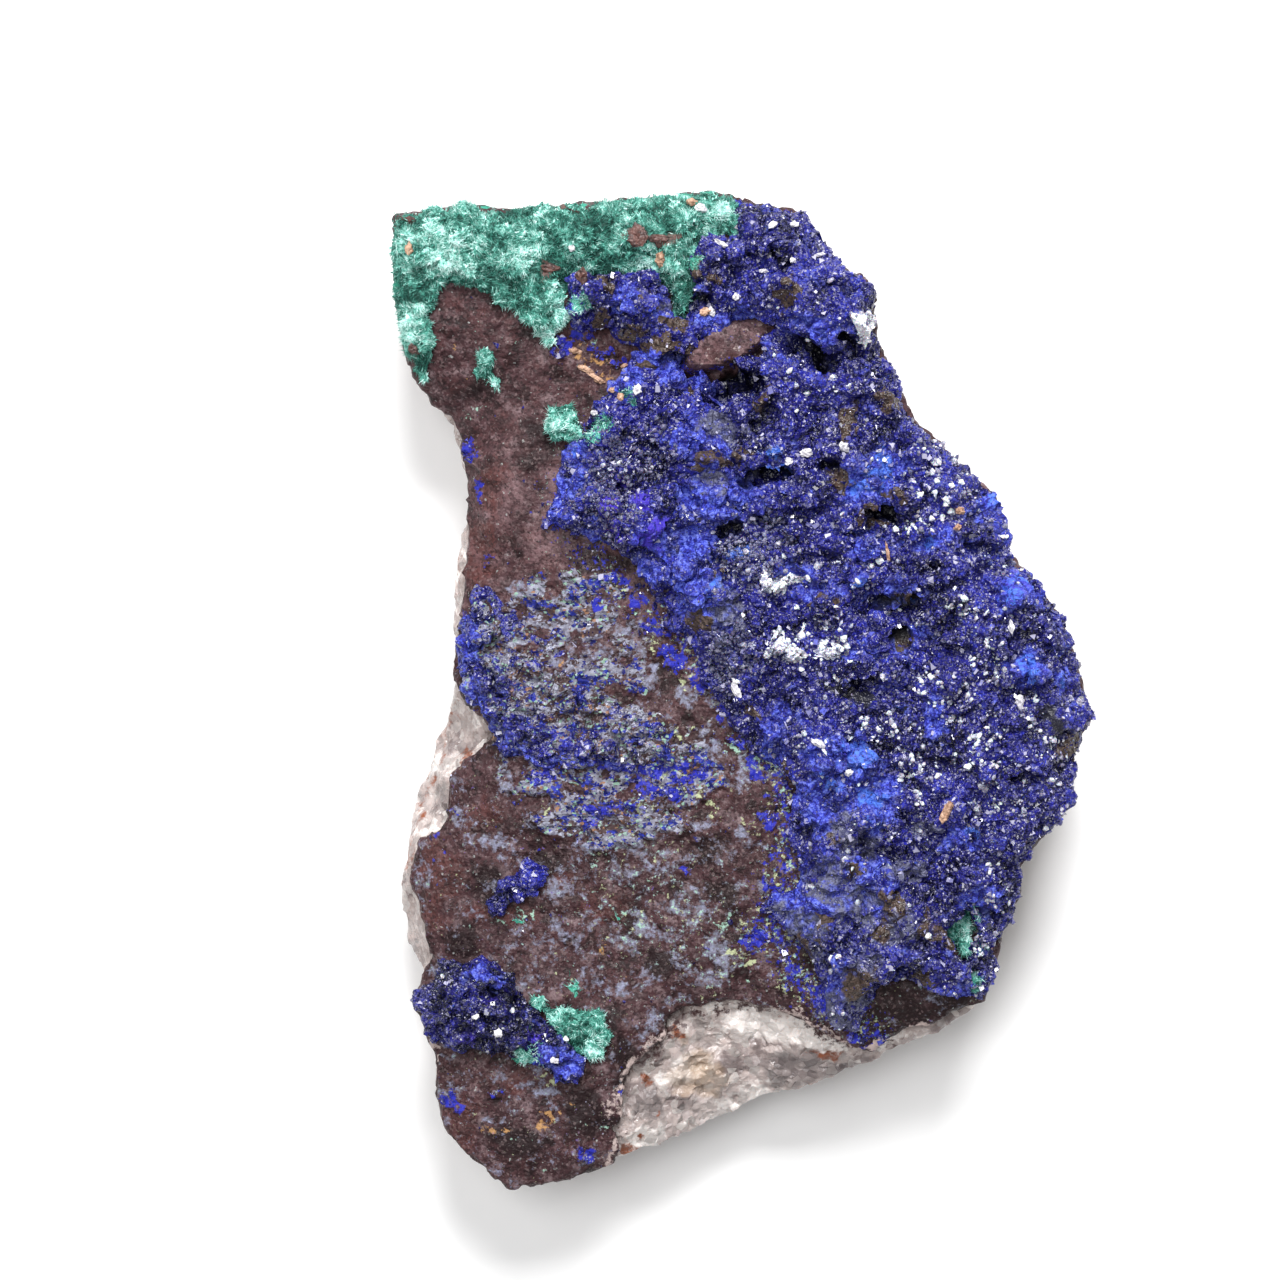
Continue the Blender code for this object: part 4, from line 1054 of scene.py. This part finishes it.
calciteGrains = {
    "count": 2500,
    "clusterCount": 30,
    "beadCount": 1300,
    "seed": 33,
    "shade": (0.09, 0.09, 0.19),
    "dusk": (0.30, 0.30, 0.40),
    "pale": (0.72, 0.72, 0.78),
    "white": (0.86, 0.86, 0.88),
}
whitePatches = [
    (3.8, 11.9, 2.4, 1.3), (3.1, 4.9, 2.6, 1.5), (5.8, 4.2, 1.9, 1.5), (10.4, 4.9, 1.5, 1.3),
    (7.2, 8.5, 1.3, 0.9), (10.4, 1.7, 1.3, 1.5), (7.6, -5.8, 1.3, 1.1), (10.9, -4.5, 0.9, 1.3),
    (6.3, 22.9, 1.1, 0.6), (7.6, 21.6, 0.8, 0.6), (25.2, 21.1, 2.8, 2.2), (19.8, 20.5, 2.6, 2.6),
    (17.6, 18.4, 3.2, 2.4), (25.7, 3.3, 2.8, 2.4), (21.4, 0.1, 2.8, 2.2), (27.8, -22.5, 2.4, 1.1),
    (23.5, -33.8, 2.6, 1.5), (17.6, -10.6, 2.4, 1.5), (27.8, -11.7, 2.8, 2.2), (20.3, -7.4, 4.3, 1.7),
    (8.5, 32.4, 2.2, 1.5), (12.8, 32.6, 1.5, 0.9), (6.3, 30.2, 1.7, 0.9), (31.1, 7.1, 1.1, 1.1),
    (23.5, 8.7, 2.6, 2.2), (14.9, 14.1, 2.2, 1.5), (8.5, 5.5, 2.8, 2.6), (-26, -36.5, 1.6, 0.8),
    (-30, -35.5, 1.2, 0.8), (-17.8, -37.5, 0.8, 0.6), (32.0, -3.5, 2.5, 3.0), (28.0, 15, 2.5, 3),
    (24.0, -5.0, 5, 4), (14.0, -4.0, 4, 2.4), (22, 26, 3, 3), (2.8, 35.2, 1.2, 1.6), (5.6, 32.4, 1.6, 1.4),
    (26.5, -27.5, 1.6, 1.4), (25.6, -18.0, 1.6, 1.2),
]
beadPatches = [(-14.0, 22.0, 3.4, 5.6), (-9.0, 26.0, 2.6, 2.6), (1.5, 15.0, 4.0, 4.4), (-1.0, 4.0, 3.0, 4.0)]


def calciteLook(settings):
    look, tree, shader = newLook("calcite", 0.35, 1.58, Subsurface_Weight=0.25, Subsurface_Scale=0.0006)
    tile = tiles(tree, objectPlace(tree), 0.2)
    tone = plus(tree, painted(tree, "tone"), spread(tree, tile[0], 0.0, 1.0, -0.2, 0.2))
    base = namedRamp(tree, tone, settings, (0.05, "shade"), (0.4, "dusk"), (0.7, "pale"), (0.85, "white"))
    tree.links.new(base, shader.inputs["Base Color"])
    roughen(tree, shader, tile[3], -0.1)
    return look


def whiteWeight(bed):
    middles = bed["center"]
    cover = patches(wander(middles, 3.0), whitePatches, 1.5)
    right = np.clip((middles[:, 0] + 6) / 18, 0.05, 1) * np.clip((30 - middles[:, 1]) / 12, 0.3, 1)
    clump = np.clip(2.4 * hills(middles, 0.8, 51) + 1.3 * hills(middles, 2.4, 53) - 0.5, 0.015, 1.3)
    free = (1 - bed["hollowShade"]) * np.clip(1.6 - 2 * bed["bare"], 0.1, 1)
    free *= np.clip(2.0 - 2.4 * bed["cobalt"], 0.15, 1)
    return (1.5 * cover + 0.28 * right) * clump * free


def beadWeight(bed):
    beady = patches(wander(bed["center"]), beadPatches) * np.clip(1.5 - 2.4 * bed["cobalt"], 0.1, 1)
    return beady * (1 - bed["hollowShade"])


def buildGrains(name, bed, weight, count, look, seed, small=0.18, large=0.80, tone=0.06):
    rng = np.random.default_rng(seed)
    shapes = [grainShape(1), grainShape(5), grainShape(9)]
    chosen = pick(bed, weight, count, rng)
    middles = chosen["center"]
    count = len(middles)
    width = small + (large - small) * rng.random(count) ** 3.0
    sizes = width[:, None] * rng.uniform(0.5, 1.35, (count, 3))
    axes = chosen["normal"] + rng.normal(size=(count, 3)) * 0.5
    clustered = patches(wander(middles, 3.0), whitePatches, 1.2)
    shade = tone + 0.65 * (width - small) + 0.36 * clustered + 0.27 * rng.normal(size=count)
    shade = np.clip(shade + 0.2 * hills(middles, 1.2, 52), 0, 1)
    stamp(name, shapes, middles, axes, sizes, 0.2, np.stack([shade, shade], 1), look, rng)


calciteTufts = {
    "voxel": 0.16,
    "relief": [(chips, 0.34, 0.6, 1), (pebbles, 0.25, 0.7, 2)],
    "top": {"rough": 0.35, "tone": 0.98, "grains": 90, "grainTone": 0.5},  # smoother and whiter
    "middle": {"rough": 1.0, "tone": 0.68, "grains": 260, "grainTone": 0.3},
    "lower": {"rough": 1.0, "tone": 0.68, "grains": 260, "grainTone": 0.3},
}
tuftPieces = {  # where each clump stands up between the blue crystals
    "top": [(13.4, 37.6, 6.0, 6.0)],
    "middle": [(4.9, 13.2, 0.95, 0.9), (6.2, 12.3, 1.1, 0.55), (2.9, 10.9, 0.55, 0.6), (4.5, 11.3, 0.5, 0.6)],
    "lower": [
        (4.4, 4.7, 1.2, 0.9), (5.7, 3.4, 1.4, 0.6), (3.2, 6.4, 0.7, 0.8), (2.4, 4.6, 0.7, 1.1),
        (10.2, 4.4, 1.1, 0.5), (10.4, 6.1, 0.45, 0.5), (9.2, 3.9, 0.6, 0.4),
    ],
}


def buildTufts(look, settings):
    # each clump is a skin laid over its solid, broken up and set with grains of its own
    for place, ovals in tuftPieces.items():
        tuft = settings[place]
        nodeName = "calcite_tuft_" + place
        name = pieceName(nodeName)
        mesh = fineSkin(name, nodeName, settings["voxel"])
        points, normals = readSkin(mesh)
        relief = layered(points, settings["relief"]) - 0.15
        standing = patches(points + 0.35 * hills(points, 0.6, 3)[:, None], ovals, 1.5)
        gaps = np.clip(1.4 - 2.6 * standing, 0, 1)
        points += normals * (tuft["rough"] * relief)[:, None]
        points[:, :2] += 0.6 * tuft["rough"] * drift(points / 1.1)[:, :2]
        points[:, 2] -= 0.5 + 1.9 * gaps * (normals[:, 2] > -0.2)
        if place == "top":  # slimmer than its solid
            points[:, 0] = 13.4 + 0.62 * (points[:, 0] - 12.3)
            points[:, 1] -= 0.5
        writePoints(mesh, points)
        paint(mesh, "tone", np.clip(tuft["tone"] + 0.7 * tuft["rough"] * hills(points, 0.7, 3), 0.2, 1.1))
        newPiece(name, mesh, look, nodeName)
        bed = readBed(mesh)
        grainsName = pieceName("calcite_grains_" + place)
        buildGrains(grainsName, bed, bed["up"], tuft["grains"], look, len(name), 0.2, 0.7, tuft["grainTone"])


# malachite

malachiteCrust = {
    "voxel": 0.24,
    "knobs": [(pebbles, 0.75, 1.8, 1), (pebbles, 0.45, 0.8, 2), (hills, 0.35, 2.6, 3)],
    "sunk": 0.45,  # how deep the underside lies in the rock below
    "fibres": 34000,
    "dark": (0.010, 0.060, 0.047),
    "green": (0.052, 0.27, 0.208),
    "mint": (0.24, 0.59, 0.51),
    "pale": (0.66, 0.90, 0.86),
    "chip": (0.13, 0.06, 0.05),
    "chipShade": (0.03, 0.014, 0.014),
}
malachitePlates = {  # how bright each is, and its share of the fibres
    "malachite_crust": (0.26, 0.90),
    "malachite_spot_upper": (0.32, 0.02),
    "malachite_spot_middle": (0.32, 0.025),
    "malachite_spot_lower": (0.32, 0.04),
    "malachite_spot_corner": (0.32, 0.015),
}
palePatches = [
    (-33.4, 49.0, 2.4, 1.3), (-35.6, 39.9, 1.3, 2.2), (-31.2, 47.6, 1.5, 1.0), (-17.5, 40.5, 2.2, 1.5),
    (-10.2, 46.0, 2.5, 1.0), (-2.2, 51.5, 1.4, 0.9), (-24, 46.2, 2.0, 1.0), (-20, 38.6, 1.6, 1.0),
    (24.2, -25.2, 0.9, 1.4), (-22.9, -39.3, 1.4, 1.6), (-15.4, -38.6, 1.6, 1.4), (-30.0, 46.6, 3.4, 1.8),
]
shadePatches = [
    (-16.2, 50.1, 2.2, 1.5), (-24.3, 51.5, 1.3, 0.8), (-13.5, 46.8, 2.4, 1.2), (-20.5, 45.5, 2, 0.8),
    (-35.2, 43.0, 1.2, 1.4), (-7.5, 49.8, 1.6, 1.0), (-28.5, 46.5, 1.4, 0.9), (-5.6, 46.0, 0.8, 1.2),
]
chipPatches = [
    (-11.4, 48.7, 1.3, 0.9), (-20.5, 45.3, 1.1, 0.6), (-8.7, 48.5, 1.3, 0.4), (-16.8, 43.6, 1.0, 1.3),
    (-35.4, 37.0, 0.6, 0.7), (-36.2, 51.2, 1.0, 0.5), (-27.5, 52.6, 1.4, 0.3), (-19.5, 52.8, 1.8, 0.3),
]


def malachiteLook(settings):
    look, tree, shader = newLook("malachite", 0.55, 1.6, Specular_IOR_Level=0.25)
    place = objectPlace(tree)
    small = grains(tree, place, 0.35, 3.0, 0.7)
    tile = tiles(tree, place, 0.2)
    tone = plus(tree, painted(tree, "tone"), spread(tree, small[0], 0.35, 0.65, -0.28, 0.28))
    tone = plus(tree, tone, spread(tree, tile[0], 0.0, 1.0, -0.16, 0.18))
    base = namedRamp(tree, tone, settings, (0.0, "dark"), (0.4, "green"), (0.75, "mint"), (1.0, "pale"))
    chip = blendColour(tree, tile[1], settings["chipShade"], settings["chip"])
    base = blendColour(tree, painted(tree, "zone"), base, chip)
    tree.links.new(base, shader.inputs["Base Color"])
    roughen(tree, shader, grain(tree, place, 0.25, 2.0), 0.2)
    return look


def buildFibres(name, bed, weight, count, look):
    rng = np.random.default_rng(len(name))
    chosen = pick(bed, weight, count, rng)
    middles = chosen["center"]
    count = len(middles)
    length = rng.uniform(0.4, 1.3, count)
    thick = rng.uniform(0.09, 0.16, count)
    axes = 0.12 * chosen["normal"] + 1.6 * drift(middles / 1.3) + 0.22 * rng.normal(size=(count, 3))
    axes[:, 2] = 0.6 * np.abs(axes[:, 2])
    shifted = wander(middles)
    shade = 0.49 + 0.21 * rng.normal(size=count)
    shade = shade + 0.22 * hills(middles, 0.6, 61) + 0.10 * hills(middles, 2.6, 62)
    shade += 0.30 * patches(shifted, palePatches, 1.6) - 0.26 * patches(shifted, shadePatches, 1.5)
    # the fibres take the tone of the plate below, with its painted light and shade
    shade += 0.8 * (chosen["tone"] - 0.3) if "tone" in chosen else 0
    sizes = np.stack([thick, thick, length], 1)
    tones = np.stack([np.clip(shade, 0.02, 1), np.zeros(count)], 1)
    stamp(name, [spikeShape()], middles, axes, sizes, 0.15, tones, look, rng)


def buildMalachite(settings, look):
    for nodeName, (brightness, share) in malachitePlates.items():
        name = pieceName(nodeName)
        mesh = fineSkin(name, nodeName, settings["voxel"])
        mesh = thinOut(mesh, readSkin(mesh)[1][:, 2] < -0.6, 0.65)
        points, normals = readSkin(mesh)
        under = normals[:, 2] < -0.3
        points[:, :2] += 0.7 * drift(points / 1.8)[:, :2]
        shifted = wander(points)
        chip = patches(shifted, chipPatches, 1.5)
        knobs = layered(points, settings["knobs"]) - 0.65
        relief = knobs * (1 - chip) + 0.1 * chip
        points += normals * np.where(under, -0.1, relief)[:, None]
        points[:, 2] -= np.where(under, settings["sunk"], 0.0)
        writePoints(mesh, points)
        # tone: painted light on the knobs and painted shade between them, paler patches, and painted shade on
        # the shade patches
        tone = brightness + 0.60 * knobs + 0.25 * patches(shifted, palePatches, 1.6)
        tone -= 0.2 * patches(shifted, shadePatches)
        paint(mesh, "tone", np.clip(tone, 0, 1))
        paint(mesh, "zone", 0.95 * chip)
        newPiece(name, mesh, look, nodeName)
        bed = readBed(mesh)
        buildFibres(name + "Fibres", bed, 1 - bed["zone"], settings["fibres"] * share, look)


# single grains and chips that stand out

looseGrains = {  # x, y, length, width, thickness, turn in degrees
    "brown": [
        (-11.4, 48.7, 2.9, 2.6, 0.8, 10), (-8.8, 48.5, 2.4, 1.0, 0.6, 0), (-20.5, 45.4, 2.0, 1.0, 0.6, 0),
        (-17.2, 44.2, 1.2, 2.0, 0.9, 20), (-35.4, 36.9, 0.9, 1.1, 0.6, 0),
    ],
    "tan": [
        (21.7, -12.6, 2.8, 1.0, 0.9, 68), (-8.7, 46.2, 1.1, 1.7, 0.9, 10), (-35.6, 47.6, 1.0, 1.6, 0.8, 0),
        (-5.4, 52.6, 1.2, 0.9, 0.7, 0), (-4.0, 40.6, 1.3, 1.0, 0.8, 20), (23.2, 19.3, 1.0, 1.0, 0.9, 30),
        (22.9, 17.5, 0.9, 0.7, 0.7, 0), (-13.0, 31.5, 0.9, 1.0, 0.7, 0), (15.5, 14.8, 0.4, 2.2, 0.4, 10),
        (-17.0, 34.8, 2.6, 0.6, 0.4, -25), (-16.0, 34.0, 2.2, 0.5, 0.4, -32),
        (-15.2, 33.4, 1.4, 0.4, 0.4, -20), (-17.8, 36.6, 1.6, 0.6, 0.5, -15),
        (-14.0, 32.4, 0.8, 0.6, 0.5, 0), (-12.6, 35.0, 0.8, 0.5, 0.5, 20),
    ],
    "white": [
        (-4.4, 51.9, 1.3, 0.9, 0.8, 10), (-18.2, 47.4, 0.8, 0.7, 0.7, 0), (-0.6, 0.1, 2.2, 0.8, 0.7, -65),
        (-2.0, 47.6, 2.4, 0.6, 0.6, -30), (3.3, 49.9, 1.2, 0.7, 0.6, 30), (5.7, 50.1, 1.0, 0.7, 0.6, 0),
        (8.3, 46.8, 1.3, 0.5, 0.5, 15), (2.2, 44.9, 1.0, 0.5, 0.5, 0), (-0.6, 42.1, 0.8, 0.9, 0.7, 0),
        (-3.3, 40.7, 0.9, 1.1, 0.8, 30), (-11.2, 32.2, 1.0, 1.1, 0.8, 0), (6.9, 25.4, 1.4, 1.1, 0.9, 0),
        (5.0, 24.6, 0.9, 0.8, 0.7, 0), (10.9, 26.0, 1.3, 1.0, 0.9, -20), (28.3, 6.9, 0.7, 1.5, 0.7, 10),
        (29.4, -1.0, 1.0, 1.5, 0.7, 25), (-28.4, -34.9, 0.8, 0.7, 0.6, 0),
        (-26.2, -36.6, 1.2, 1.0, 0.7, 30), (-17.6, -37.8, 1.0, 0.9, 0.7, 0),
        (-20.2, -39.6, 0.8, 0.7, 0.6, 0), (11.3, -8.6, 0.9, 0.8, 0.7, 0), (8.2, -5.6, 1.8, 0.9, 0.9, -30),
        (5.4, 46.0, 0.6, 0.6, 0.6, 0), (-15.8, 30.0, 0.7, 0.7, 0.6, 0),
    ],
}
faceHeight = 17.0  # where the slab's face lies, for a lump that has no skin right below it
looseFinishes = {  # name, colour, shaded colour, roughness, slot
    "brown": ("brownChips", (0.13, 0.055, 0.045), (0.03, 0.013, 0.012), 0.5, "ironstone"),
    "tan": ("tanGrains", (0.60, 0.37, 0.25), (0.20, 0.10, 0.06), 0.5, "quartz"),
    "white": ("whiteGrains", (0.84, 0.83, 0.85), (0.45, 0.43, 0.48), 0.35, "calcite"),
}


def looseLook(name, pale, deep, rough):
    look, tree, shader = newLook(name, rough, 1.55)
    place = objectPlace(tree)
    tile = tiles(tree, place, 0.25)
    tone = plus(tree, grain(tree, place, 0.5, 3.0, 0.7), spread(tree, tile[0], 0.0, 1.0, -0.1, 0.1))
    tree.links.new(ramp(tree, tone, [(0.35, deep), (0.62, pale)]), shader.inputs["Base Color"])
    roughen(tree, shader, tile[3], -0.1)
    return look


def addLump(shape, place, size, turn):
    # four small uneven balls run together, brought to size and laid at the place
    before = len(shape.verts)
    for part in range(4):
        ball = bmesh.ops.create_icosphere(shape, subdivisions=2, radius=0.36)["verts"]
        shift = 0.34 * noise.noise_vector(place * 1.7 + Vector((5 * part, 0, 0)))
        for vert in ball:
            vert.co *= 1 + 0.9 * noise.noise(vert.co * 4.0 + place + shift * 9)
            vert.co += shift
    lump = list(shape.verts)[before:]
    bmesh.ops.scale(shape, verts=lump, vec=[side * mm for side in size])
    bmesh.ops.rotate(shape, verts=lump, matrix=Matrix.Rotation(np.radians(turn), 3, "Z"))
    bmesh.ops.translate(shape, verts=lump, vec=place * mm)


def buildLoose(skins):
    # each lump is laid on whatever lies under it
    tops = np.concatenate([points[normals[:, 2] > 0.2] for points, normals in map(readSkin, skins)])
    for kind, lumps in looseGrains.items():
        shape = bmesh.new()
        for x, y, *size, turn in lumps:
            near = np.linalg.norm(tops[:, :2] - (x, y), axis=1) < 0.5
            height = tops[near, 2].max() if near.any() else faceHeight
            addLump(shape, Vector((x, y, height)), size, turn)
        name = kind + "Grains"
        *finish, slot = looseFinishes[kind]
        newPiece(name, meshOf(shape, name), looseLook(*finish))


# the studio

studioSetup = {
    "paper": (0.93, 0.93, 0.93),
    "room": 0.30,  # strength of the white light from all round
    "lamps": {  # place, size and power
        "key": ((0.05, 0.55, 0.60), 0.30, 8.5),
        "top": ((-0.25, 0.1, 0.9), 0.5, 5.0),
    },
    "aim": (0, 0, 0.02),
    "lens": 117.7,
    "camera": (-0.0109, 0.0055, 0.468),
}


def areaLight(name, place, size, power, aim):
    light = bpy.data.lights.new(name, "AREA")
    light.size = size
    light.energy = power
    lamp = bpy.data.objects.new(name, light)
    lamp.location = place
    lamp.rotation_euler = (Vector(aim) - Vector(place)).to_track_quat("-Z", "Y").to_euler()
    scene.collection.objects.link(lamp)


def studio(settings):
    shape = bmesh.new()
    bmesh.ops.create_grid(shape, x_segments=1, y_segments=1, size=3.0)
    mesh = meshOf(shape, "floor")
    paper, _, shader = newLook("floorPaper", 0.9, 1.4)
    shader.inputs["Base Color"].default_value = (*settings["paper"], 1)
    mesh.materials.append(paper)
    floor = bpy.data.objects.new("floor", mesh)
    scene.collection.objects.link(floor)

    world = bpy.data.worlds.new("softRoom")
    world.use_nodes = True
    world.node_tree.nodes["Background"].inputs["Color"].default_value = (1, 1, 1, 1)
    world.node_tree.nodes["Background"].inputs["Strength"].default_value = settings["room"]
    scene.world = world
    for name, lamp in settings["lamps"].items():
        areaLight(name, *lamp, settings["aim"])

    lens = bpy.data.cameras.new("camera")
    lens.sensor_width = 36
    lens.lens = settings["lens"]
    camera = bpy.data.objects.new("camera", lens)
    camera.location = settings["camera"]
    scene.collection.objects.link(camera)
    scene.camera = camera
    print("studio set")


studio(studioSetup)
buildQuartz(quartzBody)
stoneFace = buildIronstone(ironstoneLayer)
blueLook = azuriteLook("azurite", azuriteCrust)
mixedLook = azuriteLook("azuriteMixed", azuriteCrust, mixed=True)
mainCrust = buildAzurite("azurite_crust", azuriteCrust, blueLook)
leftCrust = buildAzurite("azurite_crust_left", azuriteCrust, mixedLook, mixed=True)
lowerCrust = buildAzurite("azurite_crust_lower", azuriteCrust, blueLook, lift=-0.12)
spotCrust = buildAzurite("azurite_spot", azuriteCrust, blueLook)
print("crusts laid")

crystals = crystalLook(azuriteCrust)
skins = [mainCrust, leftCrust, lowerCrust, spotCrust, stoneFace]
mainBed, leftBed, lowerBed, spotBed, stoneBed = map(readBed, skins)
middle = 8  # the main crust has two pieces of crystals, which meet at this y
buildCrystals("azuriteCrystalsUpper", mainBed, crystalWeight(mainBed, low=middle), 1.0, crystals)
buildCrystals("azuriteCrystalsLower", mainBed, crystalWeight(mainBed, high=middle), 1.0, crystals)
shore = crystalWeight(leftBed) * (1 - 0.9 * leftBed["mixedCover"])
buildCrystals("azuriteCrystalsLeft", leftBed, shore, 0.08, crystals)
buildCrystals("azuriteCrystalsCluster", lowerBed, crystalWeight(lowerBed), 0.11, crystals, glints=0.3)
buildCrystals("azuriteCrystalsSpot", spotBed, crystalWeight(spotBed), 0.02, crystals)
strewn = np.clip((stoneBed["blue"] - 0.40) * 6, 0, 1) + 0.5 * stoneBed["fringe"]
strewn = strewn + 0.12 * stoneBed["mixed"] + 0.004
buildCrystals("azuriteCrystalsStrewn", stoneBed, strewn * stoneBed["heap"], 0.22, crystals)

white = calciteLook(calciteGrains)
seed = calciteGrains["seed"]
buildGrains("calciteGrainsRight", mainBed, whiteWeight(mainBed), calciteGrains["count"], white, seed)
few = calciteGrains["clusterCount"]
buildGrains("calciteGrainsCluster", lowerBed, whiteWeight(lowerBed), few, white, seed + 1)
beads = calciteGrains["beadCount"]
buildGrains("azuriteBeads", mainBed, beadWeight(mainBed), beads, white, seed + 2, 0.3, 0.7, -0.28)
buildTufts(white, calciteTufts)

greenLook = malachiteLook(malachiteCrust)
buildMalachite(malachiteCrust, greenLook)
for place, bed, count in (("Strewn", mainBed, 900), ("Cluster", lowerBed, 350), ("Stone", stoneBed, 1400)):
    buildFibres("malachiteFibres" + place, bed, bed["green"] ** 2, count, greenLook)
buildLoose([mainCrust, leftCrust, lowerCrust, stoneFace, bpy.data.objects["malachiteCrust"].data])
